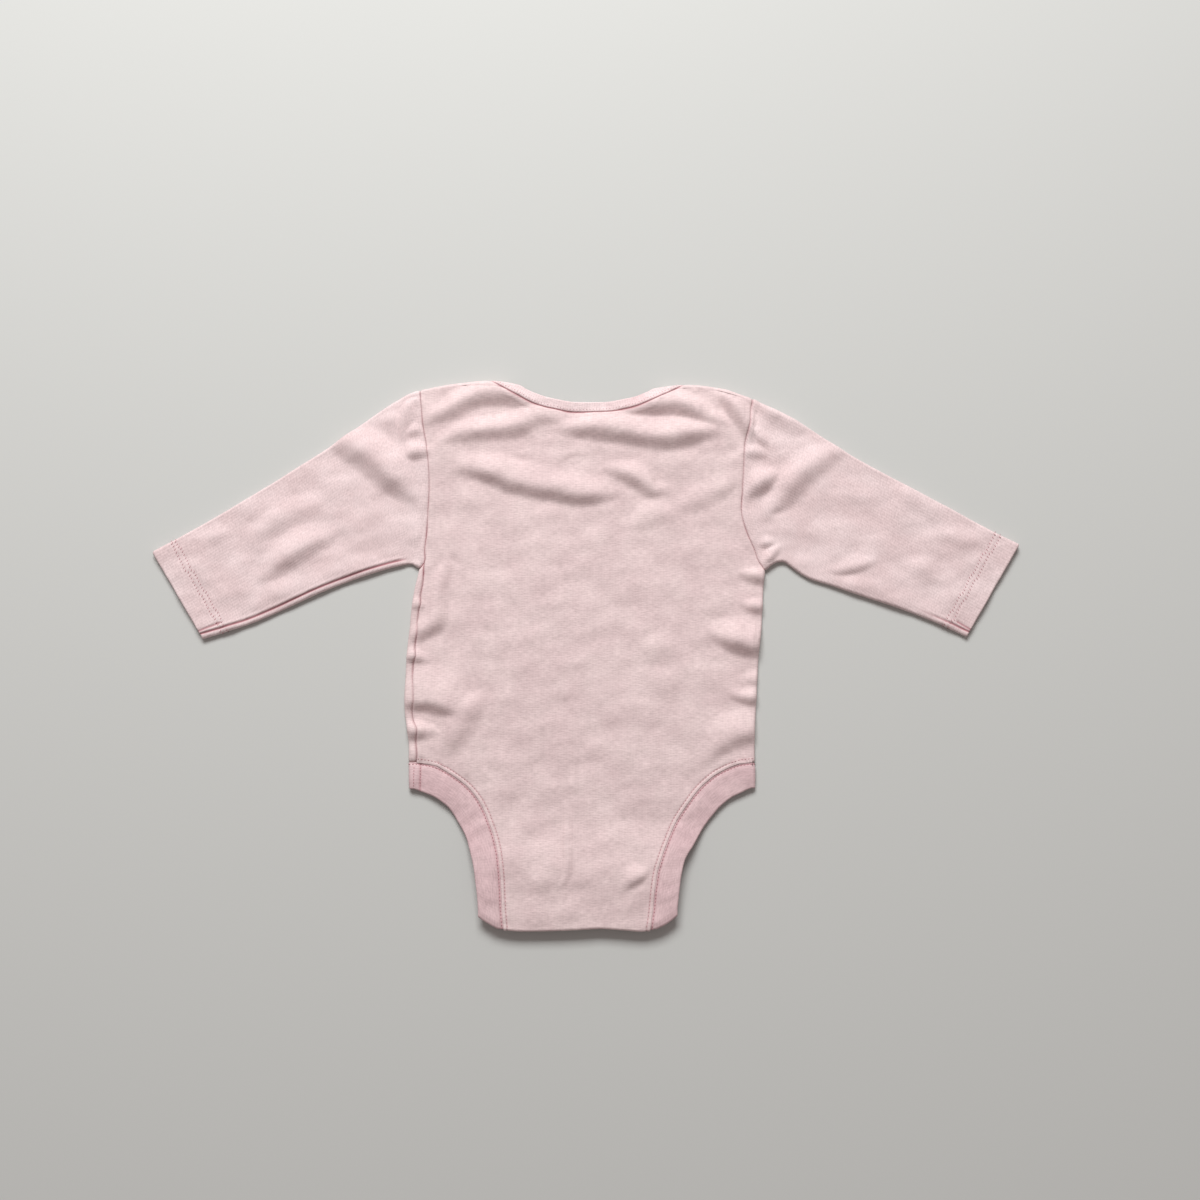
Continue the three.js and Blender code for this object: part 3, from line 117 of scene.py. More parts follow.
CROTCH_FOLD = table(
    "x y",
    (-62.5, -154.2), (-59.9, -156.2), (-55, -159.2), (-50.5, -161.6), (-46, -162.7),
    (-39, -163.4), (-28, -163.4), (-15, -163.1), (-3, -162.6), (8.5, -162.0), (22, -162.8),
    (35, -163.3), (41.8, -161.4), (47.6, -158.4), (51.6, -155.4), (54, -153.2),
)
SLEEVE_TOPS = table(
    "leftX leftY rightX rightY",
    (-101.3, 158.0, 102.0, 152.7), (-107.5, 156.4, 107.5, 149.9), (-114.1, 152.6, 115.6, 146.1),
    (-129.2, 142.6, 130.8, 138.0), (-144.2, 131.4, 145.8, 128.0), (-159.1, 120.8, 160.8, 118.2),
    (-174.1, 111.0, 175.8, 109.4), (-188.9, 101.3, 190.8, 101.2), (-203.8, 91.9, 205.7, 92.9),
    (-218.6, 82.7, 220.5, 84.9), (-233.4, 73.9, 235.3, 76.5), (-247.0, 66.0, 247.1, 69.9),
    (-260.6, 58.4, 260.6, 63.0),
)
SLEEVE_BOTTOMS = table(
    "leftX leftY rightX rightY",
    (-99.5, 48.3, 107.2, 47.1), (-104.7, 50.9, 110.9, 49.8), (-111.9, 49.8, 115.1, 52.0),
    (-117.9, 48.3, 118.9, 52.2), (-123.9, 46.5, 123.1, 49.4), (-132.8, 43.6, 127.5, 46.0),
    (-141.8, 40.4, 132.5, 42.9), (-159.6, 33.2, 146.7, 38.0), (-177.3, 24.9, 164.5, 31.8),
    (-188, 20.0, 182.4, 25.8), (-197.4, 15.9, 200.1, 19.3), (-212.7, 10.6, 214.8, 13.0),
    (-228.4, 5.8, 227.0, 7.2),
)

# The folds that the cloth keeps where it lies. Each row has a fold's height, the width of its steep
# side and of its gentle side, and the line down the middle of the steep side, with the crest to
# the left of the line. A height below zero is a crease, and its width is the first of the two.
FOLDS = [
    (5.1, 10.5, 14, [(-24, 132.5), (-12, 131.5), (0, 130.5), (12, 129.3), (24, 127.3), (38, 124.8),
                     (52, 124.3), (66, 127), (80, 130.5), (90, 132)]),
    (4.6, 10, 10, [(14, 142), (34, 143.3), (46, 145), (54, 145), (62, 142.5), (72, 138),
                   (84, 134.5), (93, 132.5)]),
    (4.6, 10, 10, [(-102, 135), (-90, 139.5), (-80, 143), (-72, 147.5), (-62, 151), (-50, 151),
                   (-38, 148.5), (-24, 146)]),
    (3.5, 9, 10, [(-96, 121), (-82, 126), (-66, 128.5), (-50, 130), (-38, 133), (-29, 138), (-21, 138.5),
                  (-14, 134.5), (-6, 130)]),
    (4.6, 9, 15, [(-86, 106), (-72, 107), (-60, 103), (-46, 97.5), (-34, 94.5), (-20, 92), (-8, 90),
                  (4, 89.5), (15, 91.5), (28, 95)]),
    (4, 8, 10, [(6, 108), (16, 106), (25, 102.5), (32, 97.5), (38, 93.5), (46, 93.5), (56, 96)]),
    (5, 8.5, 8, [(74, 157), (84, 149.5), (91, 140), (97, 130), (101, 122)]),
    (1.8, 10.4, 13, [(50, 80), (60, 83), (72, 87.5), (84, 94), (95, 104)]),
    (1.5, 9.1, 11, [(22, 70), (34, 74), (46, 77.5), (60, 81)]),
    (-1.2, 2.6, 0, [(-50, 115.8), (-40, 115), (-30, 114)]),
    (-1.3, 2.6, 0, [(-17, 112.5), (-7, 114.5), (5, 115)]),
    (-0.39, 2.9, 0, [(-27, 122), (-17, 121)]),
    (-0.7, 3.4, 0, [(86, 125), (90, 119), (94, 116)]),
    (-0.8, 3.4, 0, [(-98, 132), (-94, 128), (-90, 121)]),
    (2, 4, 5, [(-119, 24.5), (-99, 24.5), (-90, 24)]),
    (3.2, 8.5, 9, [(-119, 5), (-96, 7), (-90, 10.5), (-86, 15), (-84.5, 24), (-85, 34), (-82, 46),
                   (-76, 60)]),
    (0.8, 5.2, 6, [(-97, 24), (-93, 33), (-88, 43)]),
    (2.4, 4, 7, [(-119, -6), (-101, -7), (-91, -9)]),
    (4.6, 9, 24, [(-119, -34), (-98, -34.5), (-88, -36), (-78, -40), (-66, -48)]),
    (3.8, 8, 6, [(-119, -51), (-97, -51.5), (-84, -50)]),
    (1.2, 5.5, 6, [(-119, -65.5), (-96, -66), (-85, -68)]),
    (3.3, 11.7, 14, [(-84, -67), (-77, -60), (-70, -50), (-65, -40), (-60, -29), (-61, -19)]),
    (-0.7, 5.8, 0, [(-60, -74), (-52, -72), (-45, -71)]),
    (-0.5, 4.6, 0, [(-51, -52), (-44, -53)]),
    (-0.45, 4.6, 0, [(-43, -37), (-36, -38)]),
    (-0.6, 4, 0, [(-63, 8), (-57, 9), (-51, 7)]),
    (-0.39, 4.6, 0, [(-49, 24), (-41, 23)]),
    (-1.2, 2.6, 0, [(-84, 56), (-79, 53), (-74, 48)]),
    (-0.5, 4.6, 0, [(-50, 1), (-42, -4)]),
    (3.6, 7, 6, [(88, 46), (98, 41.5), (121, 39)]),
    (2.8, 6, 6, [(88, 29), (97, 23.5), (121, 22)]),
    (5.1, 9.5, 17, [(67, 13), (79, 5), (86, 1.5), (94, -1.5), (121, -3)]),
    (1.4, 5, 6, [(85, -19), (95, -20), (121, -20)]),
    (3.1, 6, 6, [(81, -25), (91, -30.5), (121, -30)]),
    (3.3, 10, 16, [(66, -72), (84, -58), (92, -55), (121, -54)]),
    (1.4, 13, 13, [(28, -3), (44, -6), (60, -5)]),
    (1, 15.6, 11, [(28, -27), (46, -28), (64, -30)]),
    (-0.45, 3.4, 0, [(2, 8.5), (11, 6)]),
    (-0.39, 4.6, 0, [(-5, -51), (7, -52)]),
    (-0.39, 5.8, 0, [(44, -59), (53, -54)]),
    (-0.39, 4.6, 0, [(27, -64), (37, -58)]),
    (1.6, 3.6, 5, [(-15, -84), (-12, -100), (-13, -115), (-12, -130), (-18, -142)]),
    (2.3, 5.5, 9, [(22, -141), (32, -134), (39, -129)]),
    (-0.7, 5.8, 0, [(-47, -92), (-36, -93)]),
    (1.1, 7.8, 11, [(-33, -143), (-24, -139), (-15, -135)]),
    (-0.5, 4.6, 0, [(19, -142), (28, -146)]),
    (0.8, 10.4, 11, [(-42, -111), (-30, -108), (-21, -99)]),
    (5.4, 13.5, 17, [(-168, 129), (-151, 122), (-136, 113), (-124, 103), (-114, 95), (-104, 88),
                     (-97, 82)]),
    (2.6, 3.2, 9, [(-98, 153.5), (-108, 151.5), (-112.5, 142), (-113.5, 132), (-110, 121)]),
    (1.2, 10.4, 9, [(-130, 140), (-122, 134), (-113, 129)]),
    (1.7, 5, 6, [(-112, 129.5), (-106, 130), (-97, 132)]),
    (2.6, 6, 8, [(-112, 114), (-104, 116), (-92, 119)]),
    (2, 10.4, 11, [(-204, 62), (-182, 74), (-166, 81.5), (-148, 89)]),
    (3.7, 10.4, 14, [(-202, 36), (-182, 47), (-168, 57), (-140, 72)]),
    (1.2, 10.4, 10, [(-214, 14), (-180, 28), (-150, 40), (-114, 54)]),
    (1, 7.8, 9, [(-232, 60), (-222, 64), (-210, 71)]),
    (0.6, 7.8, 9, [(-208, 77), (-194, 84)]),
    (-1, 2.1, 0, [(-105.5, 59), (-106.5, 48)]),
    (2.6, 11.7, 9, [(97, 150), (114, 141), (124, 134), (138, 128)]),
    (4.4, 9, 10, [(94, 89), (105, 95), (112, 100), (121, 108)]),
    (4.4, 12, 13, [(106, 75), (117, 85), (127, 94), (134, 102), (142, 109), (154, 118),
                   (164, 124)]),
    (-2.2, 2.2, 0, [(-95.5, 92), (-96.8, 72), (-99.5, 40)]),
    (-0.8, 2.1, 0, [(109, 80), (115, 81.5), (122, 84.5)]),
    (1.7, 4.6, 6, [(102, 62), (109, 61.5), (116, 63)]),
    (2, 4.6, 5, [(106, 48), (112, 54), (119, 64)]),
    (2.2, 5.2, 9, [(144, 45), (154, 45), (163, 47), (178, 53)]),
    (1.7, 9.1, 10, [(208, 71), (222, 63), (240, 61)]),
    (1.3, 10.4, 10, [(180, 96), (200, 85), (215, 74)]),
    (1.3, 9.1, 10, [(186, 52), (202, 43), (214, 37)]),
    (1.2, 10.4, 10, [(134, 41), (165, 31), (190, 22), (222, 9)]),
    (2, 4.4, 6, [(95, 136), (103, 128), (110, 120)]),
    (1.7, 5, 6, [(92, 118), (103, 116.5), (113, 116)]),
]
FOLD_FADE = 0.45
FOLD_ENDS = (6, 34)
FOLD_TIP = 0.5
EDGE_SHARE = 0.8
LUMPS = table(
    "length height turn",
    (43, 0.42, 0.5), (31, 0.3, 2.0), (22, 0.22, 1.1), (16, 0.15, 2.6), (11, 0.08, 0.8),
    (8.5, 0.045, 1.5),
)
LUMP_STRETCH = 1.37
NECK_REACH = 45
NECK_RIM = 6
SHOULDER_REACH = 50
UNDERARM_TURN = 16


def mix(a, b, share):
    return a + (b - a) * share


def smooth(t):
    s = np.clip(t, 0, 1)
    return s * s * (3 - 2 * s)


def ramp(at, start_and_length):
    start, length = start_and_length
    return smooth((at - start) / length)


def smooth_line(known, wanted, at):
    """Values on a smooth line through the wanted values at the known ones."""
    if known[0] > known[-1]:
        known, wanted = known[::-1], wanted[::-1]
    slope = np.gradient(wanted, known)
    at = np.clip(at, known[0], known[-1])
    i = np.clip(np.searchsorted(known, at) - 1, 0, len(known) - 2)
    step = known[i + 1] - known[i]
    t = (at - known[i]) / step
    start = (1 + 2 * t) * (1 - t) ** 2 * wanted[i] + t * (1 - t) ** 2 * step * slope[i]
    return start + t * t * (3 - 2 * t) * wanted[i + 1] + t * t * (t - 1) * step * slope[i + 1]


def follow(rows, key, value, at):
    return smooth_line(rows[key], rows[value], at)


def dent(away, width):
    """A soft dent, 1 in its middle, as a share of its depth."""
    return np.exp(-((away / width) ** 2))


def plan_of(x, y):
    return np.stack([x, y], axis=-1)


def path_of(rows, side):
    return plan_of(rows[side + "X"], rows[side + "Y"])


def lengths_along(path):
    """How far each point of a path lies from its start."""
    return np.concatenate([[0], np.cumsum(np.linalg.norm(np.diff(path, axis=0), axis=1))])


def along(path, share):
    """Points at shares of a path's length."""
    lengths = lengths_along(path)
    at = np.asarray(share) * lengths[-1]
    return np.stack([smooth_line(lengths, path[:, i], at) for i in (0, 1)], axis=-1)


def spread(count, crowd=0.7, ends="both"):
    """Shares from 0 to 1 that crowd towards both ends, or only towards the start or the end."""
    t = np.linspace(0, 1, count + 1)
    if ends == "both":
        return mix(t, (1 - np.cos(np.pi * t)) / 2, crowd)
    crowded = mix(t, 1 - np.cos(np.pi * t / 2), crowd)
    return crowded if ends == "start" else 1 - crowded[::-1]


def distance_to(path, x, y):
    """Signed distance of points from a path, above zero to its left, and the nearest length of it."""
    x, y = np.asarray(x, float), np.asarray(y, float)
    least = np.full(np.shape(x), np.inf)
    sign, at, travelled = np.ones(np.shape(x)), np.zeros(np.shape(x)), 0
    for (ax, ay), (bx, by) in zip(path[:-1], path[1:]):
        dx, dy = bx - ax, by - ay
        size = max(np.hypot(dx, dy), 1e-9)
        t = np.clip(((x - ax) * dx + (y - ay) * dy) / size ** 2, 0, 1)
        far = np.hypot(x - ax - t * dx, y - ay - t * dy)
        nearer = far < least
        sign = np.where(nearer, np.where((y - ay) * dx - (x - ax) * dy >= 0, 1.0, -1.0), sign)
        at = np.where(nearer, travelled + t * size, at)
        least = np.where(nearer, far, least)
        travelled += size
    return sign * least, at


def outline_of_garment():
    """Outline of the whole garment in plan, at which the folds run out."""
    neck = BACK_NECK["out"] < NECK_REACH
    out, up = BACK_NECK["out"][neck], BACK_NECK["y"][neck] + NECK_RIM
    shoulders = plan_of(SHOULDERS["x"], SHOULDERS["y"])
    sides = {half: plan_of(SIDES[half], SIDES["y"]) for half in HALVES}
    return np.concatenate([
        sides["left"], path_of(LEG_EDGES, "left"), plan_of(CROTCH_FOLD["x"], CROTCH_FOLD["y"]),
        path_of(LEG_EDGES, "right")[::-1], sides["right"][::-1],
        path_of(SLEEVE_BOTTOMS, "right"), path_of(SLEEVE_TOPS, "right")[::-1],
        shoulders[SHOULDERS["x"] > SHOULDER_REACH][::-1], plan_of(NECK_MIDDLE + out, up)[::-1],
        plan_of(NECK_MIDDLE - out, up), shoulders[SHOULDERS["x"] < -SHOULDER_REACH][::-1],
        path_of(SLEEVE_TOPS, "left"), path_of(SLEEVE_BOTTOMS, "left")[::-1],
    ])


OUTLINE = outline_of_garment()
CRESTS = [along(np.array(line, float), np.linspace(0, 1, 3 * len(line) - 1)) for *_, line in FOLDS]


def fold_height(x, y):
    """What the folds add: ridges steeper on one side, and creases."""
    ridges = np.zeros(np.shape(x))
    creases = np.zeros(np.shape(x))
    for (height, steep, gentle, _), line in zip(FOLDS, CRESTS):
        side, at = distance_to(line, x, y)
        length = lengths_along(line)[-1]
        fade = smooth(np.minimum(at, length - at) / np.clip(FOLD_FADE * length, *FOLD_ENDS))
        slim = mix(FOLD_TIP, 1, fade)
        if height < 0:
            creases = np.minimum(creases, height * fade * dent(side, steep))
        else:
            rise = smooth(side / (steep * slim) + 0.5)
            fall = 1 - smooth((side / slim - steep / 2) / gentle)
            ridges += (height * fade * rise * fall) ** 3
    return np.cbrt(ridges) + creases


def lump_height(x, y):
    """Small uneven swells that a washed knit keeps all over."""
    total = np.zeros(np.shape(x))
    for i, (length, height, turn) in enumerate(zip(*LUMPS.values())):
        along_it = (x * np.cos(turn) + y * np.sin(turn)) * 2 * np.pi / length
        across_it = (y * np.cos(turn) - x * np.sin(turn)) * 2 * np.pi / (length * LUMP_STRETCH)
        total += height * np.sin(along_it + 1.7 * i + np.sin(across_it)) * np.sin(across_it + 0.9 * i)
    return total


def cuff_distance(x, y):
    """How far a point lies inside the cuff of the nearer sleeve."""
    far = np.zeros(np.shape(x))
    for side, half in HALVES.items():
        top, low = path_of(SLEEVE_TOPS, side)[-1], path_of(SLEEVE_BOTTOMS, side)[-1]
        across = (x - top[0]) * (low[1] - top[1]) - (y - top[1]) * (low[0] - top[0])
        inside = half["sign"] * across / np.hypot(*(low - top))
        far = np.where((x < 0) == (side == "left"), inside, far)
    return far


def upper_height(x, y):
    """Height of the middle of the upper layer."""
    over_shoulder = ramp(y, SHOULDER_RAMP) * (1 - ramp(np.abs(x), SLEEVE_RAMP))
    near_cuff = 1 - ramp(cuff_distance(x, y), CUFF_RAMP)
    base = LOWER_MID + WALL + LAYER_SPACE + HEM_EXTRA * near_cuff
    raised = base + SHOULDER_LIFT * over_shoulder + CROTCH_LIFT * ramp(y, CROTCH_RAMP)
    from_edge = np.abs(distance_to(OUTLINE, x, y)[0])
    kept = mix(EDGE_SHARE * (1 - ramp(y, CROTCH_RAMP)), 1, ramp(from_edge, EDGE_RAMP))
    bump = (fold_height(x, y) + lump_height(x, y)) * kept
    return raised + np.maximum(bump, LEAST_SPACE - LAYER_SPACE)


def fold_at(x, y, dx, dy, radius=None):
    """Where the cloth starts to turn at an edge, which way it goes, and how tightly."""
    turn = np.full(np.shape(x), radius or LAYER_SPACE, float)
    for _ in range(3):
        start_x, start_y = x - (turn + WALL / 2) * dx, y - (turn + WALL / 2) * dy
        if radius is None:
            turn = (upper_height(start_x, start_y) - LOWER_MID) / 2
    return {"x": start_x, "y": start_y, "dx": dx, "dy": dy, "radius": turn,
            "top": upper_height(start_x, start_y)}


def round_fold(fold, past):
    """Points of the cloth at distances past the start of a fold, with the share of the half turn."""
    turn = np.clip(past / fold["radius"], 0, np.pi)
    flat = past - turn * fold["radius"]
    out = fold["radius"] * np.sin(turn) + np.where(past > 0, -flat, flat)
    x, y = fold["x"] + out * fold["dx"], fold["y"] + out * fold["dy"]
    z = np.where(past < 0, upper_height(x, y), fold["top"] - fold["radius"] * (1 - np.cos(turn)))
    return np.stack([x, y, z], axis=-1), turn / np.pi


def half_turn(fold):
    return np.pi * fold["radius"]


def wide(fold):
    """A fold with its values as a column, for a row of points at each."""
    return {name: value[:, None] for name, value in fold.items()}


def raised_to(height, plan):
    """Points in plan, lifted to a layer's height."""
    return np.concatenate([plan, height(plan[..., 0], plan[..., 1])[..., None]], axis=-1)


def side_fold(side, y):
    """The fold down one side of the body, which turns towards the sleeve just under the arm."""
    half = HALVES[side]
    share = ramp(y, (half["underarm_y"] - UNDERARM_TURN, UNDERARM_TURN))
    dx, dy = mix(half["sign"], half["underarm"][0], share), mix(0, half["underarm"][1], share)
    size = np.hypot(dx, dy)
    return fold_at(follow(SIDES, "y", side, y), y, dx / size, dy / size)


def shoulder_fold(x):
    return fold_at(x, follow(SHOULDERS, "x", "y", x), np.zeros(np.shape(x)), np.ones(np.shape(x)))


def crotch_fold(x):
    edge = follow(CROTCH_FOLD, "x", "y", x)
    return fold_at(x, edge, np.zeros(np.shape(x)), -np.ones(np.shape(x)), CROTCH_FOLD_RADIUS)


def armhole_corners(side):
    """Where an armhole meets the fold of the shoulder and that of the side."""
    sign = HALVES[side]["sign"]
    near = shoulder_fold(follow(ARMHOLES, "y", side, SHOULDER_Y))
    shoulder = shoulder_fold(follow(ARMHOLES, "y", side, near["y"]))
    under = side_fold(side, np.float64(HALVES[side]["underarm_y"]))
    back, _ = round_fold(under, np.float64(-SIDE_SEAM_INSET if sign < 0 else 0))
    front, _ = round_fold(under, half_turn(under) + (0 if sign < 0 else SIDE_SEAM_INSET))
    return {"shoulder": shoulder, "under": under, "back": back, "front": front}


CORNERS = {side: armhole_corners(side) for side in HALVES}


def armhole_point(side, share):
    """Points of an armhole seam in plan, at shares of its height."""
    corners = CORNERS[side]
    y = mix(corners["back"][1], corners["shoulder"]["y"], np.asarray(share, float))
    x = np.where(np.asarray(share) >= 1, corners["shoulder"]["x"], follow(ARMHOLES, "y", side, y))
    return plan_of(x, y)


def place_in_scene(name, data):
    thing = bpy.data.objects.new(name, data)
    bpy.context.collection.objects.link(thing)
    return thing


class Cloth:
    """Cloth as grids of points in its middle, joined where they share points."""

    def __init__(self):
        self.points, self.grain, self.outer, self.inner, self.faces = [], [], [], [], []
        self.count = 0

    def add(self, points, grain, outer=WALL / 2, inner=WALL / 2, flipped=False):
        """Adds a grid (rows, columns, 3) with its place on the flat cut and its two thicknesses."""
        rows, columns = points.shape[:2]
        index = self.count + np.arange(rows * columns).reshape(rows, columns)
        self.count += rows * columns
        self.points.append(points.reshape(-1, 3))
        self.grain.append(np.broadcast_to(grain, (rows, columns, 2)).reshape(-1, 2))
        self.outer.append(np.broadcast_to(outer, (rows, columns)).reshape(-1))
        self.inner.append(np.broadcast_to(inner, (rows, columns)).reshape(-1))
        corners = [index[:-1, :-1], index[:-1, 1:], index[1:, 1:], index[1:, :-1]]
        if flipped:
            corners.reverse()
        self.faces.append(np.stack(corners, axis=-1).reshape(-1, 4))
        return index

    def shell(self, name, relief, material):
        """Makes the closed cloth: both sides, with its edges rolled round."""
        points, grain = np.concatenate(self.points), np.concatenate(self.grain)
        _, first, self.same = np.unique(
            np.round(points, 3), axis=0, return_index=True, return_inverse=True)
        self.same = self.same.reshape(-1)
        middle = points[first]
        faces = np.concatenate(self.faces)
        welded = self.same[faces]
        distinct = [len(set(face)) > 2 for face in welded.tolist()]
        faces, welded = faces[distinct], welded[distinct]
        a, b, c, d = (middle[welded[:, i]] for i in range(4))
        normal = np.zeros_like(middle)
        for i in range(4):
            np.add.at(normal, welded[:, i], np.cross(c - a, d - b))
        normal /= np.maximum(np.linalg.norm(normal, axis=1, keepdims=True), 1e-9)

        edges = np.concatenate([welded[:, [i, (i + 1) % 4]] for i in range(4)])
        edges = edges[edges[:, 0] != edges[:, 1]]
        codes = edges.min(axis=1) * len(middle) + edges.max(axis=1)
        _, where, counts = np.unique(codes, return_index=True, return_counts=True)
        rim = edges[where[counts == 1]]

        steps = np.linspace(0, 1, RIM_STEPS + 1)[:-1, None, None]
        marks = mix(middle[rim[:, 0]], middle[rim[:, 1]], steps).reshape(-1, 3)
        tree = KDTree(len(marks))
        for i, mark in enumerate(marks * APART):
            tree.insert(mark, i)
        tree.balance()
        found = [tree.find(point) for point in middle * APART]
        away = np.array([one[2] for one in found])
        near = marks[[one[1] for one in found]]

        height, seam, sewn = relief(middle, away, near)
        rolled = np.sqrt(1 - (1 - np.clip(away / EDGE_ROLL, 0, 1)) ** 2)
        rolled = np.maximum(rolled, mix(FREE_EDGE, SEWN_EDGE, sewn))[:, None]
        outer = np.concatenate(self.outer)[first][:, None] * rolled + height[:, None]
        inner = np.concatenate(self.inner)[first][:, None] * rolled - height[:, None]
        self.top = middle + normal * outer
        corners = np.concatenate([self.top, middle - normal * inner]) * MM

        count = len(middle)
        walls = np.stack([rim[:, 1], rim[:, 0], rim[:, 0] + count, rim[:, 1] + count], axis=-1)
        quads = np.concatenate([welded, welded[:, ::-1] + count, walls]).tolist()
        spots = np.concatenate([faces, faces[:, ::-1], first[walls % count]]).tolist()
        kept = [[k for k in range(4) if quad[k] != quad[k - 1]] for quad in quads]
        mesh = bpy.data.meshes.new(name)
        mesh.from_pydata(corners.tolist(), [],
                         [[quad[k] for k in keep] for quad, keep in zip(quads, kept)])
        layer = mesh.uv_layers.new(name="Grain")
        order = [spot[k] for spot, keep in zip(spots, kept) for k in keep]
        layer.data.foreach_set("uv", (grain[order] * MM).astype(np.float32).reshape(-1))
        # The 'seam' attribute carries the painted seam shade and rose to the material.
        depth = mesh.attributes.new("seam", "FLOAT", "POINT")
        depth.data.foreach_set("value", np.concatenate([seam, seam]).astype(np.float32))
        mesh.polygons.foreach_set("use_smooth", np.ones(len(mesh.polygons), bool))
        mesh.materials.append(material)
        return place_in_scene(name, mesh)

    def surface(self, index):
        """Points of the outer side at places of a grid."""
        return self.top[self.same[index]]


# APART keeps a rim on one layer from counting as near to the layer above or below it.
APART = np.array([1, 1, 3])
RIM_STEPS = 4
EDGE_ROLL = 0.6
FREE_EDGE = 0.2
SEWN_EDGE = 0.85
TUCK_DEPTH = 0.26
TUCK_WIDTH = 0.85
PULL_CHANGE = 0.25
PULL_BEATS = (0.21, 0.083, 0.13)
ALLOWANCE_HEIGHT = 0.22
ALLOWANCE_RISE = (0, 1.2)
ALLOWANCE_FALL = (3, 2)
# How strongly and how wide a sewn edge is darkened: painted shade of the seam's groove, with the seam's
# deeper rose.
SEAM_SHADE_AND_ROSE = 0.46
SEAM_SHADE_WIDTH = 0.42
STRAIN_RAMP = (86, -25)
STRAIN_LOW = 45
STRAIN_LEFT = -90


def sewn_edge(away, near, depth=TUCK_DEPTH, allowance=ALLOWANCE_HEIGHT):
    """How a sewn edge dips into its seam, with painted shade and the seam's deeper rose in the dip, and
    the turned allowance as a low swell beside it. The stitches pull unevenly, and most at the left
    armpit."""
    first, second, third = PULL_BEATS
    beats = near[:, 1] * first + 2 * np.sin(near[:, 1] * second) + near[:, 0] * third
    strained = (near[:, 1] > STRAIN_LOW) & (near[:, 0] < STRAIN_LEFT)
    pull = 1 - PULL_CHANGE + PULL_CHANGE * np.sin(beats)
    pull = pull * (1 + ramp(near[:, 1], STRAIN_RAMP) * strained)
    swell = allowance * ramp(away, ALLOWANCE_RISE) * (1 - ramp(away, ALLOWANCE_FALL))
    return swell - depth * pull * dent(away, TUCK_WIDTH), np.minimum(
        1, SEAM_SHADE_AND_ROSE * pull * dent(away, SEAM_SHADE_WIDTH))


def linear(colour):
    """An sRGB hex colour as linear red, green, blue and alpha."""
    parts = [int(colour[i:i + 2], 16) / 255 for i in (1, 3, 5)]
    return (*[p / 12.92 if p <= 0.04045 else ((p + 0.055) / 1.055) ** 2.4 for p in parts], 1.0)


def put(tree, kind, settings=None, **inputs):
    """Adds a node with its settings; an input given a socket is linked to it."""
    node = tree.nodes.new(kind)
    for name, value in (settings or {}).items():
        setattr(node, name, value)
    for name, value in inputs.items():
        socket = node.inputs[int(name[1:]) if name[1:].isdigit() else name.replace("_", " ")]
        if isinstance(value, bpy.types.NodeSocket):
            tree.links.new(value, socket)
        else:
            socket.default_value = value
    return node


def new_material(name):
    """A material with an empty node tree, and that tree."""
    material = bpy.data.materials.new(name)
    material.use_nodes = True
    material.node_tree.nodes.clear()
    return material, material.node_tree


# Fine cotton rib, knitted one by one and dyed in the piece. The wales are about 1 mm apart, drawn
# 1.7 mm apart so that they show, with painted shade: darker in the troughs between them, lighter on
# their crests. Short slubs run across them. Soft, matt and slightly fuzzy.
WALE_PITCH = 1.7
SLUB = (3.4, 0.75)
WAVER_SCALE = 160.0
WAVER = 2.4
FUZZ_SCALE = 1500.0
CLOUD_SCALE = 42.0
# A dark rose that stands for painted shade in seam and stitch grooves as well as the seams' deeper rose.
SEAM_SHADE_ROSE = "#AE727A"


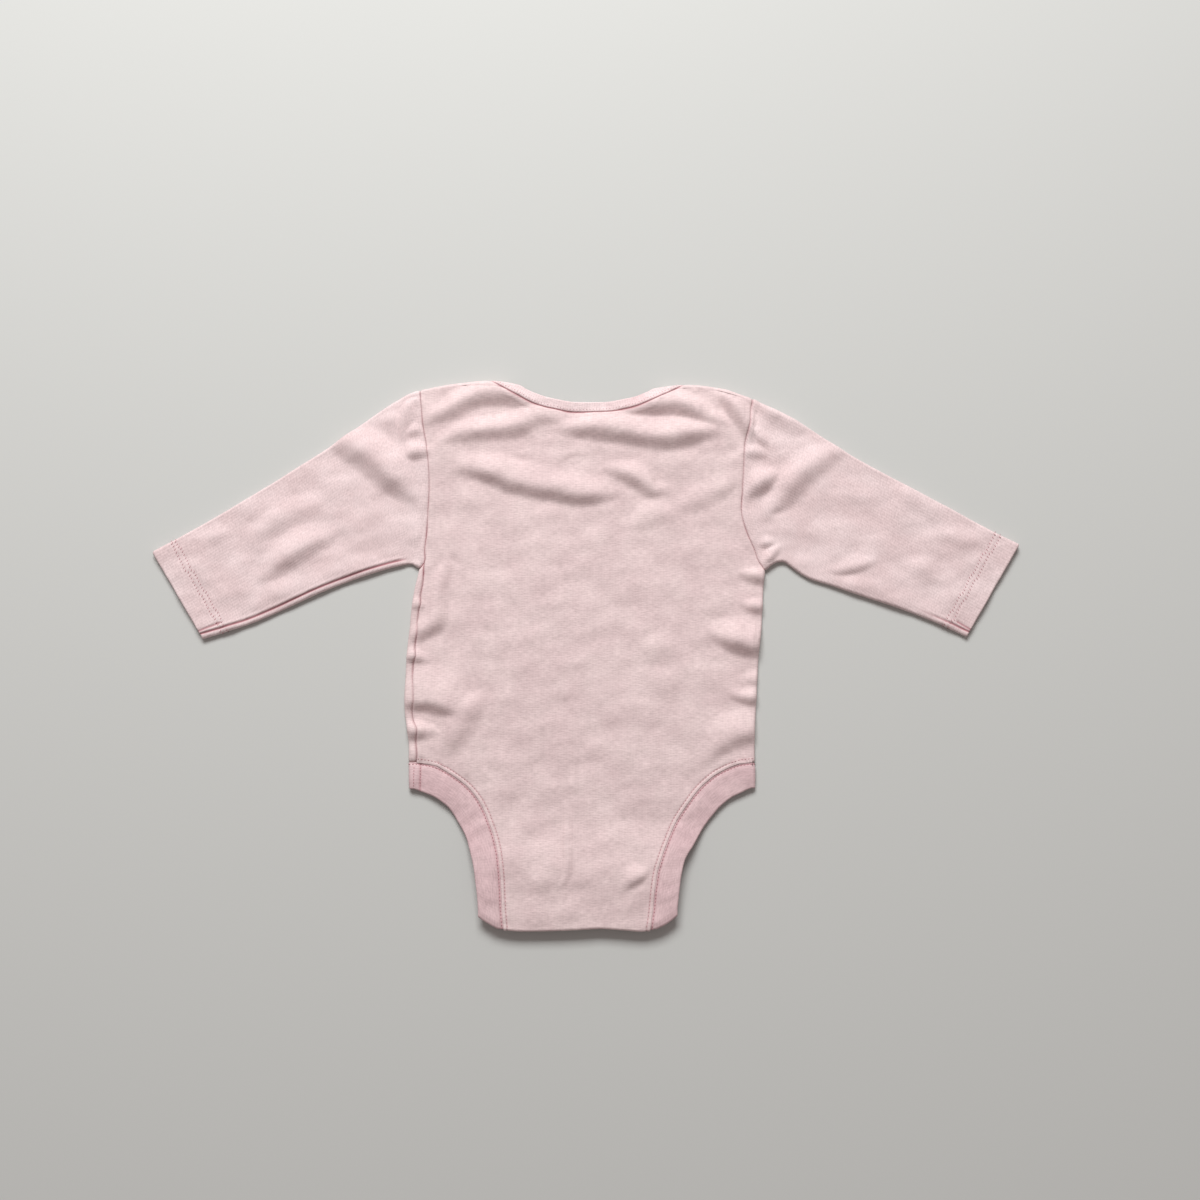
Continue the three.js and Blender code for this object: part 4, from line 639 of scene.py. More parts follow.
def cotton_rib(name, pale, deep, rib_depth=0.09, rib_shade=0.02, wale=WALE_PITCH, slub=SLUB):
    material, tree = new_material(name)
    grain = put(tree, "ShaderNodeUVMap", {"uv_map": "Grain"}).outputs["UV"]
    place = put(tree, "ShaderNodeTexCoord").outputs["Object"]
    waver = put(tree, "ShaderNodeTexNoise", Vector=grain, Scale=WAVER_SCALE, Detail=1.0).outputs["Fac"]
    parts = put(tree, "ShaderNodeSeparateXYZ", Vector=grain)
    turns = put(tree, "ShaderNodeMath", {"operation": "MULTIPLY"}, _0=parts.outputs["X"],
                _1=2 * np.pi / (wale * MM)).outputs[0]
    bent = put(tree, "ShaderNodeMath", {"operation": "MULTIPLY_ADD"}, _0=waver, _1=WAVER,
               _2=turns).outputs[0]
    wales = put(tree, "ShaderNodeMath", {"operation": "SINE"}, _0=bent).outputs[0]
    stretched = put(tree, "ShaderNodeMapping", Vector=grain,
                    Scale=(1 / (slub[0] * MM), 1 / (slub[1] * MM), 1.0)).outputs[0]
    slubs = put(tree, "ShaderNodeTexNoise", Vector=stretched, Scale=1.0, Detail=2.0,
                Roughness=0.6).outputs["Fac"]
    fuzz = put(tree, "ShaderNodeTexNoise", Vector=place, Scale=FUZZ_SCALE, Detail=2.0).outputs["Fac"]
    cloud = put(tree, "ShaderNodeTexNoise", Vector=place, Scale=CLOUD_SCALE, Detail=4.0,
                Roughness=0.6).outputs["Fac"]
    clouds = put(tree, "ShaderNodeMapRange", Value=cloud, _1=0.36, _2=0.66).outputs[0]
    ground = put(tree, "ShaderNodeMix", {"data_type": "RGBA"}, _0=clouds, _6=linear(deep),
                 _7=linear(pale)).outputs[2]
    streaks = put(tree, "ShaderNodeMapRange", Value=slubs, _1=0.3, _2=0.7, _3=0.83, _4=1.07).outputs[0]
    # Painted shade of the wales: darker in their troughs, lighter on their crests, in step with the bump
    # below.
    rib_shade_factor = put(tree, "ShaderNodeMapRange", Value=wales, _1=-1.0, _2=1.0, _3=1 - rib_shade,
               _4=1 + rib_shade / 2).outputs[0]
    # The slub streaks are the yarn's own tone; the rib factor is painted shade.
    shade = put(tree, "ShaderNodeMath", {"operation": "MULTIPLY"}, _0=streaks, _1=rib_shade_factor).outputs[0]
    dyed_and_rib_shaded = put(tree, "ShaderNodeMix", {"data_type": "RGBA", "blend_type": "MULTIPLY"}, _0=1.0,
               _6=ground, _7=shade).outputs[2]
    # By seams and stitch grooves the colour is mixed towards that dark rose: painted shade, with the
    # seam's rose.
    depth = put(tree, "ShaderNodeAttribute", {"attribute_name": "seam"}).outputs["Fac"]
    colour = put(tree, "ShaderNodeMix", {"data_type": "RGBA"}, _0=depth, _6=dyed_and_rib_shaded,
                 _7=linear(SEAM_SHADE_ROSE)).outputs[2]
    knit = put(tree, "ShaderNodeMath", {"operation": "MULTIPLY_ADD"}, _0=wales, _1=0.22,
               _2=slubs).outputs[0]
    rough = put(tree, "ShaderNodeMath", {"operation": "MULTIPLY_ADD"}, _0=fuzz, _1=0.5,
                _2=knit).outputs[0]
    bump = put(tree, "ShaderNodeBump", Height=rough, Distance=rib_depth * MM, Strength=1.0).outputs[0]
    shader = put(tree, "ShaderNodeBsdfPrincipled", Base_Color=colour, Roughness=0.92, Normal=bump)
    shader.inputs["Specular IOR Level"].default_value = 0.2
    shader.inputs["Sheen Weight"].default_value = 0.12
    shader.inputs["Sheen Roughness"].default_value = 0.5
    shader.inputs["Sheen Tint"].default_value = linear("#FFE9E6")
    put(tree, "ShaderNodeOutputMaterial", Surface=shader.outputs[0])
    return material


body_rib = cotton_rib("rose cotton rib, body", "#EDD8D7", "#E4CDCD")

BACK_COLUMNS = 150
LEG_ROWS = 84
TRUNK_ROWS = 78
YOKE_ROWS = 78
TURN_ROWS = 8
LAP_ROWS = 24
TAB_ROWS = 24
LEG_TOP = -66.9
SINK_RAMP = (CROTCH_START, 12)
UNDERARM_RAMP = (30, 18.3)
LAP_TRIES = 12
LAP_CROWD = 1.6
half_gap = SEAM_GAP / 2


def leg_seam_path(side):
    return plan_of(LEG_SEAMS[side], LEG_SEAMS["y"])


def on_right(y):
    """The rows of the trunk on its right side, which lie lower where they near the armpit."""
    return y - ramp(y, UNDERARM_RAMP) * (HALVES["left"]["underarm_y"] - HALVES["right"]["underarm_y"])


shares = spread(BACK_COLUMNS)
climb = 1 - spread(LEG_ROWS, 0.5, "start")
leg_y = along(leg_seam_path("left"), climb)[:, 1].clip(CROTCH_START, LEG_TOP)
leg_x = mix(follow(LEG_SEAMS, "y", "left", leg_y)[:, None] + half_gap,
            follow(LEG_SEAMS, "y", "right", leg_y)[:, None] - half_gap, shares)
sink = crotch_fold(leg_x[0])["y"] - CROTCH_START
leg_rows = plan_of(leg_x, leg_y[:, None] + sink * (1 - ramp(leg_y[:, None], SINK_RAMP)))

trunk_y = np.linspace(LEG_TOP, HALVES["left"]["underarm_y"], TRUNK_ROWS + 1)
left_seam, _ = round_fold(
    side_fold("left", trunk_y[1:]), np.full(TRUNK_ROWS, -SIDE_SEAM_INSET - half_gap))
right_side = side_fold("right", on_right(trunk_y))
right_start, _ = round_fold(right_side, np.zeros(TRUNK_ROWS + 1))
trunk_rows = mix(left_seam[:, None, :2], right_start[1:, None, :2], shares[:, None])

rise = spread(YOKE_ROWS, 0.6, "end")[1:]
top_x, level = (mix(*[float(CORNERS[side]["shoulder"][key]) for side in HALVES], shares) for key in "xy")
neck_y = follow(BACK_NECK, "out", "y", np.abs(top_x - NECK_MIDDLE))
sag = np.minimum(neck_y, shoulder_fold(top_x)["y"]) - level
yoke_rows = mix(*[armhole_point(side, rise)[:, None] for side in HALVES], shares[:, None])
yoke_rows[..., 1] += sag * np.maximum(0, 2 * rise - 1)[:, None]
yoke_rows[-1, :, 0] = top_x

plan = np.concatenate([leg_rows, trunk_rows, yoke_rows])
back_grid = raised_to(upper_height, plan)
back = Cloth()
back.add(back_grid, plan)

# The right edge turns under to the side seam on the front.
past = np.concatenate([
    np.linspace(0, 1, TURN_ROWS + 1) * half_turn(right_side)[:, None],
    half_turn(right_side)[:, None] + np.array([1, 2, SIDE_SEAM_INSET])], axis=1)
turned, _ = round_fold(wide(right_side), past)
turned[:, 0] = back_grid[LEG_ROWS:LEG_ROWS + TRUNK_ROWS + 1, -1]
back.add(turned, plan_of(turned[:, :1, 0] + past, np.broadcast_to(turned[:, :1, 1], past.shape)))

# The shoulders turn under too, and each ends in the lap's bound edge.
laps = {}
reach = neck_y >= shoulder_fold(top_x)["y"]
for side in HALVES:
    columns = np.flatnonzero(reach & ((top_x < NECK_MIDDLE) == (side == "left")))
    past_neck = columns[-1] + 1 if side == "left" else columns[0] - 1
    columns = np.sort(np.append(columns, past_neck))
    start_x = top_x[columns]
    start = shoulder_fold(start_x)
    out = np.abs(start_x - NECK_MIDDLE)
    drift = (out - out.min()) / (out.max() - out.min())

    def lap_x(past):
        y = start["y"] - np.maximum(0, past - half_turn(start))
        shift = follow(ARMHOLES, "y", side, y) - follow(ARMHOLES, "y", side, start["y"])
        return start_x + shift * drift

    limit = np.zeros(len(columns))
    for _ in range(LAP_TRIES):
        x = lap_x(limit)
        edge = follow(BACK_NECK, "out", "y", np.abs(x - NECK_MIDDLE))
        limit = np.maximum(0, edge - shoulder_fold(x)["y"])
    limit[~reach[columns]] = 0
    past = np.linspace(0, 1, LAP_ROWS + 1)[:, None] ** LAP_CROWD * limit
    x = np.stack([lap_x(row) for row in past])
    lap, _ = round_fold(shoulder_fold(x), past)
    lap[0] = back_grid[-1, columns]
    lap[:, ~reach[columns]] = lap[0, ~reach[columns]]
    back.add(lap, plan_of(x, start["y"] + past))
    laps[side] = float(lap_x(limit)[0 if side == "left" else -1])

# The crotch end folds under and lies on the front's flap as a tab.
seat = crotch_fold(back_grid[0, :, 0])
past = np.concatenate([
    np.linspace(0, 1, TURN_ROWS + 1)[:, None] * half_turn(seat),
    half_turn(seat) + np.linspace(0, 1, TAB_ROWS - TURN_ROWS + 1)[1:, None] * (TAB_END - seat["y"])])
tab, _ = round_fold(seat, past)
tab[0] = back_grid[0]
back.add(tab, plan_of(tab[..., 0], seat["y"] - past), flipped=True)

UPPER_LAYER = 1.5
NEAR_EDGE = 0.5
BEAD_HEIGHT = 0.34
BEAD_RAMP = (1.25, 0.9)
BEAD_END = 98.4
BEAD_END_RAMP = (BEAD_END, -1.5)
PANEL_ROW = 2.1
PANEL_GROOVE = 0.26
PANEL_SHADE = 0.7
BAND_ROW = 1.0
ROW_WIDTH = 0.45
ROW_SHADE = 0.4
TAB_TOP = 6
NECK_SEAM_Y = 140
NECK_SEAM_HALF = 58
NECK_SEAM_SHADE_AND_ROSE = 0.85
NECK_SEAM_SHADE_WIDTH = 0.75


def sunk_row(away, at, depth):
    """The groove that a row of stitches pulls into the cloth, and the shade painted into it."""
    groove = dent(away - at, ROW_WIDTH)
    return -depth * groove, ROW_SHADE * groove


def back_relief(points, away, near):
    """The back dips into its seams; along the leg openings a bead stands up beside a row of
    stitches. The tab's end is a free edge."""
    height, seam = sewn_edge(away, near)
    at_leg = (near[:, 1] < LEG_TOP + NEAR_EDGE) & (points[:, 2] > UPPER_LAYER)
    bead = BEAD_HEIGHT * (1 - ramp(away, BEAD_RAMP)) * ramp(near[:, 0], BEAD_END_RAMP)
    groove, shade = sunk_row(away, PANEL_ROW, PANEL_GROOVE)
    height = np.where(at_leg, bead + groove, height)
    # Painted shade in the groove of the stitch row beside the bead.
    seam = np.where(at_leg, PANEL_SHADE * shade, seam)
    # By the neck seam the colour is mixed towards the seam colour: painted shade of the seam, with its
    # deeper rose.
    at_neck = (near[:, 1] > NECK_SEAM_Y) & (np.abs(near[:, 0] - NECK_MIDDLE) < NECK_SEAM_HALF)
    seam = np.where(at_neck, NECK_SEAM_SHADE_AND_ROSE * dent(away, NECK_SEAM_SHADE_WIDTH), seam)
    at_tab_end = (np.abs(near[:, 1] - TAB_END) < NEAR_EDGE) & (near[:, 2] < TAB_TOP)
    return np.where(at_tab_end, 0, height), np.where(at_tab_end, 0, seam), ~at_tab_end


back_panel = back.shell("back_of_body", back_relief, body_rib)
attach(back_panel, "root")
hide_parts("back_panel")

# The front of the body: the same rib. It lies on the surface, its left edge turns up to the side
# seam, and its flap at the crotch carries the caps of the press studs.

FLAP_END = -157
FLAP_LIFT = 1.0
SHOULDER_LAP_LEVEL = 2.2
LAP_RAMP = (-20, 10)
CAP_RAMP = (-112, -14)
LAP_SLOPE = 0.74
LAP_BINDING = (4.4, 5.3)
FLAP_HALF_WIDTH = 36
CROTCH_MIDDLE = -4.8
NECK_BEND_START = 0.3
FRONT_TOP = 11 / 12
FRONT_COLUMNS = 90
FLAP_ROWS = 70
CHEST_ROWS = 59
FRONT_TUCK = 0.2
FRONT_NECK = table(
    "out drop",
    (0, 27.6), (10, 27.1), (20, 25.4), (30, 22.4), (40, 18.2), (53, 11.4), (67, 5.4), (81, 1.8),
    (100, 0),
)
FRONT_LEG_SEAM = table(
    "y share",
    (LEG_TOP, 1), (-67.3, 0.86), (-68.6, 0.71), (-71.2, 0.56), (-75.4, 0.43), (-81.4, 0.31),
    (-89.5, 0.21), (-100, 0.13), (-114, 0.06), (-129, 0.02), (-143, 0), (FLAP_END, 0),
)


def front_height(x, y):
    """Middle height of the front, which rises over the shoulder laps and the snap caps."""
    fold = shoulder_fold(x)
    bound_edge = follow(BACK_NECK, "out", "y", np.abs(x - NECK_MIDDLE) + LAP_BINDING[0]) + LAP_BINDING[1]
    past = bound_edge - fold["y"]
    under = fold["y"] - (past - half_turn(fold))
    lap_edge = np.where(past < half_turn(fold), fold["y"], under)
    over_lap = ramp((y - lap_edge) * LAP_SLOPE, LAP_RAMP)
    return LOWER_MID + (SHOULDER_LAP_LEVEL - LOWER_MID) * over_lap + FLAP_LIFT * ramp(y, CAP_RAMP)


def front_leg_x(side, y):
    fold = side_fold(side, np.float64(LEG_TOP))
    inner = float(fold["x"]) - (SIDE_SEAM_INSET + SEAM_GAP if side == "right" else 0)
    share = follow(FRONT_LEG_SEAM, "y", "share", y)
    return CROTCH_MIDDLE + HALVES[side]["sign"] * mix(FLAP_HALF_WIDTH, abs(inner - CROTCH_MIDDLE), share)


def front_leg_path(side):
    return plan_of(front_leg_x(side, FRONT_LEG_SEAM["y"]), FRONT_LEG_SEAM["y"])


front_shares = spread(FRONT_COLUMNS)
flap_y = along(front_leg_path("left"), 1 - spread(FLAP_ROWS, 0.5, "start"))[:, 1].clip(FLAP_END, LEG_TOP)
flap_x = mix(front_leg_x("left", flap_y)[:, None] + half_gap,
             front_leg_x("right", flap_y)[:, None] - half_gap, front_shares)
flap_rows = plan_of(flap_x, np.broadcast_to(flap_y[:, None], flap_x.shape))
left_side, right_turn = side_fold("left", trunk_y), side_fold("right", on_right(trunk_y))
right_seam, _ = round_fold(right_turn, half_turn(right_turn) + SIDE_SEAM_INSET + SEAM_GAP)
left_start = plan_of(left_side["x"], left_side["y"])
side_rows = mix(left_start[:, None], right_seam[:, None, :2], front_shares[:, None])

lift = np.linspace(0, FRONT_TOP, CHEST_ROWS + 1)[1:]
corner = CORNERS["right"]
armhole_foot = (corner["front"][1] - corner["back"][1]) / (corner["shoulder"]["y"] - corner["back"][1])
right_lift = mix(float(armhole_foot), FRONT_TOP, lift / FRONT_TOP)
chest_rows = mix(armhole_point("left", lift)[:, None], armhole_point("right", right_lift)[:, None],
                 front_shares[:, None])
drop = follow(FRONT_NECK, "out", "drop", np.abs(chest_rows[..., 0] - NECK_MIDDLE))
bend = np.maximum(0, (lift - NECK_BEND_START) / (FRONT_TOP - NECK_BEND_START))
chest_rows[..., 1] -= drop * bend[:, None]
front_plan = np.concatenate([flap_rows[:-1], side_rows, chest_rows])
front_grid = raised_to(front_height, front_plan)
front = Cloth()
front.add(front_grid, front_plan, flipped=True)

past = np.concatenate([
    np.full((len(trunk_y), 1), -SIDE_SEAM_INSET + half_gap),
    np.full((len(trunk_y), 1), -SIDE_SEAM_INSET / 2),
    np.linspace(0, 1, TURN_ROWS + 1) * half_turn(left_side)[:, None]], axis=1)
wrapped, _ = round_fold(wide(left_side), past)
wrapped[:, -1] = front_grid[FLAP_ROWS:FLAP_ROWS + len(trunk_y), 0]
front.add(wrapped, plan_of(wrapped[:, -1:, 0] - past[:, -1:] + past,
                           np.broadcast_to(trunk_y[:, None], past.shape)), flipped=True)


def front_relief(points, away, near):
    """The front dips a little into its seams, more where it turns up at the side."""
    height, seam = sewn_edge(away, near, depth=FRONT_TUCK, allowance=0.0)
    hem = np.abs(near[:, 1] - FLAP_END) < NEAR_EDGE
    height = np.where(points[:, 2] > UPPER_LAYER, sewn_edge(away, near)[0], height)
    return np.where(hem, 0, height), np.where(hem, 0, seam), ~hem


front_panel = front.shell("front_of_body", front_relief, body_rib)
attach(front_panel, "root")
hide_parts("front_panel")

# The sleeves: each one piece of the same rib, closed by a seam under the arm and set into the
# armhole. The cuff is the sleeve's own end, turned in 14 mm and sewn with two rows of stitches.

SLEEVE_COLUMNS = 84
SLEEVE_UNDER = 44
SLEEVE_ROWS = 124
HEM_ROWS = (12.2, 15.4)
HEM_RAMP = (CUFF_DEPTH, 1.6)
HEM_DIMPLE = 0.24
HEM_DIMPLE_WIDTH = 0.55
HEM_SWELL = 0.12
CUFF_EDGE = 2
TURNED_UP = LOWER_MID + 0.2
ON_TOP = LOWER_MID + 0.8
FACE_STEP = 0.03
FACE_RAMP = (0, 0.1)
EDGE_STATIONS = 60
# The underarm seam shows as a groove with a swell of its allowance beside it. Its end is caught
# into the hem on a short slant line.
UNDERARM_SEAM_IN = 3.1
UNDERARM_GROOVE = (0.6, 0.6)
UNDERARM_SWELL = (0.3, 1.4, 0.8)
ARMHOLE_ALLOWANCE = 0.3
CAUGHT = {
    "left": [(-230.5, 10.4), (-224, 13), (-218, 15.5)],
    "right": [(221.5, 16), (227, 12.6), (232.5, 9)],
}
CAUGHT_SHADE_AND_ROSE = 0.8
SEAM_SHOWN = {"left": (-106, -8), "right": (196, 30)}
sleeve_rib = cotton_rib("rose cotton rib, sleeves", "#EFDBDB", "#E6CFCF", slub=(1.9, 1.0))


def unit(vectors):
    return vectors / np.linalg.norm(vectors, axis=1, keepdims=True)


def edge_face(path, share, fold, sign):
    """Unit vectors out of a sleeve's folded edge, turning from the body's fold at the armhole."""
    before, after = np.maximum(0, share - FACE_STEP), np.minimum(1, share + FACE_STEP)
    step = unit(along(path, after) - along(path, before))
    start = np.array([float(fold["dx"]), float(fold["dy"])])
    return unit(mix(start, sign * plan_of(step[:, 1], -step[:, 0]), ramp(share, FACE_RAMP)[:, None]))


def seam_line(side, layer):
    """The armhole seam of one layer, from the shoulder fold down to the fold of the side."""
    corners = CORNERS[side]
    ends = [[float(corners["under"]["x"]), float(corners["under"]["y"])]]
    if layer == "back" and side == "left":
        ends.insert(0, corners["back"][:2])
    points = np.concatenate([armhole_point(side, np.linspace(1, 0, 50)), ends])
    points = points[np.append(True, np.diff(lengths_along(points)) > 1e-3)]
    lengths = lengths_along(points)
    return lambda share: plan_of(*[np.interp(share * lengths[-1], lengths, line) for line in points.T])


sleeves = {}
rows = spread(SLEEVE_ROWS, 0.55)
for side, half in HALVES.items():
    sign = half["sign"]
    shoulder, under = CORNERS[side]["shoulder"], CORNERS[side]["under"]
    tops, lows = path_of(SLEEVE_TOPS, side), path_of(SLEEVE_BOTTOMS, side)
    top_fold = fold_at(*along(tops, rows).T, *edge_face(tops, rows, shoulder, -sign).T)
    low_fold = fold_at(*along(lows, rows).T, *edge_face(lows, rows, under, sign).T)
    for fold, corner in ((top_fold, shoulder), (low_fold, under)):
        for name in fold:
            fold[name][0] = float(corner[name])

    def across(layer, shares):
        """Places of one layer in plan: straight across the sleeve, bowed near the armhole."""
        line = seam_line(side, layer)
        ends = [plan_of(fold["x"], fold["y"])[:, None] for fold in (top_fold, low_fold)]
        bow = line(shares) - mix(line(np.zeros(1)), line(np.ones(1)), shares[:, None])
        shift = np.array([sign * SEAM_GAP, 0]) * (rows == 0)[:, None, None]
        return mix(*ends, shares[:, None]) + bow * ((1 - rows) ** 2)[:, None, None] + shift

    upper = across("back", spread(SLEEVE_COLUMNS, 0.6))
    lower = across("front", spread(SLEEVE_UNDER, 0.4))[:, ::-1]
    turns = np.linspace(0, 1, TURN_ROWS + 1)
    low_turn, _ = round_fold(wide(low_fold), turns * half_turn(low_fold)[:, None])
    top_turn, _ = round_fold(wide(top_fold), turns[::-1] * half_turn(top_fold)[:, None])
    ring = np.concatenate([
        raised_to(upper_height, upper), low_turn[:, 1:-1],
        np.concatenate([lower, np.full((*lower.shape[:2], 1), LOWER_MID)], axis=-1),
        top_turn[:, 1:]], axis=1)
    ring[:, -1] = ring[:, 0]
    steps = np.linalg.norm(np.diff(ring, axis=1), axis=2)
    width = np.concatenate([np.zeros((len(rows), 1)), np.cumsum(steps, axis=1)], axis=1)
    length = rows[:, None] * lengths_along(tops)[-1]
    inside = cuff_distance(ring[..., 0], ring[..., 1])
    hemmed = 1 - ramp(inside, HEM_RAMP)
    dimples = sum(dent(inside - at, HEM_DIMPLE_WIDTH) for at in HEM_ROWS)
    outer = WALL / 2 + HEM_SWELL * hemmed * (ring[..., 2] > TURNED_UP) - HEM_DIMPLE * dimples
    cloth = Cloth()
    index = cloth.add(ring, plan_of(width, np.broadcast_to(length, width.shape)), outer,
                      WALL / 2 + HEM_EXTRA * hemmed, flipped=side == "left")

    stations = np.linspace(0, 1, EDGE_STATIONS)
    seam_path = along(lows, stations) - edge_face(lows, stations, under, sign) * UNDERARM_SEAM_IN

    def sleeve_relief(points, away, near):
        """The sleeve dips into the armhole seam, and its underarm seam lies near the lower edge."""
        x, y, on_top = points[:, 0], points[:, 1], points[:, 2] > ON_TOP
        at_cuff = cuff_distance(near[:, 0], near[:, 1]) < CUFF_EDGE
        height, seam = sewn_edge(away, near, allowance=ARMHOLE_ALLOWANCE)
        far = sign * distance_to(seam_path, x, y)[0]
        shown = ramp(x, SEAM_SHOWN[side]) * on_top
        groove = shown * dent(far, UNDERARM_GROOVE[1])
        swell = shown * dent(far - UNDERARM_SWELL[1], UNDERARM_SWELL[2])
        caught = dent(distance_to(np.array(CAUGHT[side]), x, y)[0], UNDERARM_GROOVE[1]) * on_top
        height = np.where(at_cuff, 0, height) + UNDERARM_SWELL[0] * swell
        height = height - UNDERARM_GROOVE[0] * (groove + caught)
        # The underarm seam's groove and the caught line are darkened: painted shade in the groove, with
        # the seam's rose.
        groove_shade_and_rose = np.maximum(groove, CAUGHT_SHADE_AND_ROSE * caught)
        return height, np.maximum(np.where(at_cuff, 0, seam), groove_shade_and_rose), ~at_cuff

    piece = cloth.shell("sleeve_of_" + side, sleeve_relief, sleeve_rib)
    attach(piece, "root")
    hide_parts("sleeve_" + side)
    sleeves[side] = {"cloth": cloth, "index": index, "inside": inside, "piece": piece}

# The neck bindings: strips of the same rib folded over the raw neck edges, with their wales across
# the strip. The back one runs on along both shoulder laps, which overlap the front one.

BINDING_WIDTH = 6.6
BINDING_COLUMNS = 14
BINDING_STATIONS = 300
BINDING_EXTRA = 0.4
BINDING_END = (0.2, 1.3)
BINDING_END_STATIONS = 5
BINDING_DIP = (0.35, 0.6)
BINDING_SEAM_SHADE_AND_ROSE = (0.7, 0.4)
BINDING_SEWN = 1.6
ABOVE_LAPS = 2.5
CROWN = 0.3
CROWN_SHAPE = 0.7
NECK_STATIONS = 2000
FRONT_STATIONS = 160
binding_rib = cotton_rib("pale rose rib, bindings", "#F3DFDF", "#EACFD0", rib_depth=0.2, rib_shade=0.05,
                         wale=1.5)


def left_of(path):
    """Unit vectors to the left of a path in plan."""
    step = unit(np.gradient(path, axis=0))
    return plan_of(-step[:, 1], step[:, 0])


def crown(shares):
    """How a folded strip rounds up between its edges."""
    return CROWN * np.sin(np.pi * np.clip(shares, 0, 1)) ** CROWN_SHAPE


def strip_grain(path, shares, width):
    """Place on a strip's own flat cut: its wales run across the strip."""
    return plan_of(*np.broadcast_arrays(lengths_along(path)[:, None], shares * width))


neck_x = np.linspace(laps["left"], laps["right"], NECK_STATIONS)
neck_edge = follow(BACK_NECK, "out", "y", np.abs(neck_x - NECK_MIDDLE))
neck_path = along(plan_of(neck_x, neck_edge), np.linspace(0, 1, BINDING_STATIONS + 1))
across_strip = spread(BINDING_COLUMNS, 0.6)
from_end = np.minimum(np.arange(len(neck_path)), np.arange(len(neck_path))[::-1])
cut = plan_of(-np.sign(neck_path[:, 0]) * BINDING_END[0], np.full(len(neck_path), BINDING_END[1]))
out = mix(left_of(neck_path), cut, smooth(1 - from_end / BINDING_END_STATIONS)[:, None])
opened = neck_path[:, None] + out[:, None] * mix(SEAM_GAP, BINDING_WIDTH, across_strip)[:, None]
fold = shoulder_fold(opened[..., 0])
strip, turn = round_fold(fold, opened[..., 1] - fold["y"])
neck_binding = Cloth()
neck_index = neck_binding.add(
    strip, strip_grain(neck_path, across_strip, BINDING_WIDTH),
    WALL / 2 + (BINDING_EXTRA + crown(across_strip)) * (1 - turn) - CROWN * (across_strip == 0),
    WALL / 2 + BINDING_EXTRA * turn, flipped=True)


def binding_relief(points, away, near):
    """The sewn edge sinks into the neck seam; the folded edge is free."""
    sewn = points[:, 1] - np.interp(points[:, 0], neck_x, neck_edge) < BINDING_SEWN
    sewn = sewn & (points[:, 2] > ABOVE_LAPS)
    # Along the sewn edge the colour is darkened: painted shade of the seam, with its rose.
    dip, groove_shade_and_rose = (depth * dent(away, width) * sewn for depth, width in (BINDING_DIP, BINDING_SEAM_SHADE_AND_ROSE))
    return -dip, groove_shade_and_rose, sewn


def plain_relief(points, away, near):
    return np.zeros((3, len(points)))


back_binding = neck_binding.shell("binding_of_back_neck", binding_relief, binding_rib)

(left_x, left_y), (right_x, right_y) = (armhole_point(side, FRONT_TOP) for side in HALVES)
front_share = np.linspace(0, 1, FRONT_STATIONS)
front_x = mix(left_x + 1, right_x - 1, front_share)
front_drop = follow(FRONT_NECK, "out", "drop", np.abs(front_x - NECK_MIDDLE))
front_path = plan_of(front_x, mix(left_y, right_y, front_share) - front_drop)
front_strip = front_path[:, None] + left_of(front_path)[:, None] * mix(
    SEAM_GAP, BINDING_WIDTH, across_strip)[:, None]
front_neck_binding = Cloth()
front_neck_binding.add(
    raised_to(front_height, front_strip), strip_grain(front_path, across_strip, BINDING_WIDTH),
    WALL / 2, WALL / 2 + BINDING_EXTRA)
front_binding = front_neck_binding.shell("binding_of_front_neck", plain_relief, binding_rib)

for piece, node in ((back_binding, "back_neck_binding"), (front_binding, "front_neck_binding")):
    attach(piece, "root")
    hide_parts(node)

# The leg bands: a folded strip of rib round each leg opening, from the crotch tab over the back and
# the side to the front flap. The seam is flattened by stitches on both sides of it.

BAND_WIDTH = 14.5
BAND_EXTRA = 0.4
BAND_COLUMNS = 22
BAND_BY_SEAM = [0.045, 0.07, 0.1]
TAB_ROWS_OF_BAND = 13
ARCH_ROWS = 129
FRONT_ROWS_OF_BAND = 69
BAND_PUCKER = 0.24
BAND_PUCKER_LENGTH = 13.5
BAND_PUCKER_SHAPE = 0.6
TAB_FLATNESS = 0.3
UNDER_FLATNESS = 0.2
BAND_GROOVE = 0.45
BAND_DRAWN = 0.35
BAND_DRAWN_RAMP = (1.5, 2.5)
BAND_JOIN = -97
BAND_JOIN_WIDTH = 0.6
BAND_JOIN_DEPTH = 0.4
BAND_JOIN_SHADE = 0.5
band_rib = cotton_rib("deep rose rib, leg bands", "#E6CACC", "#DABCBF", rib_depth=0.06, rib_shade=0.012)
band_shares = np.sort(np.append(spread(BAND_COLUMNS - len(BAND_BY_SEAM), 0.5), BAND_BY_SEAM))
bands = {}
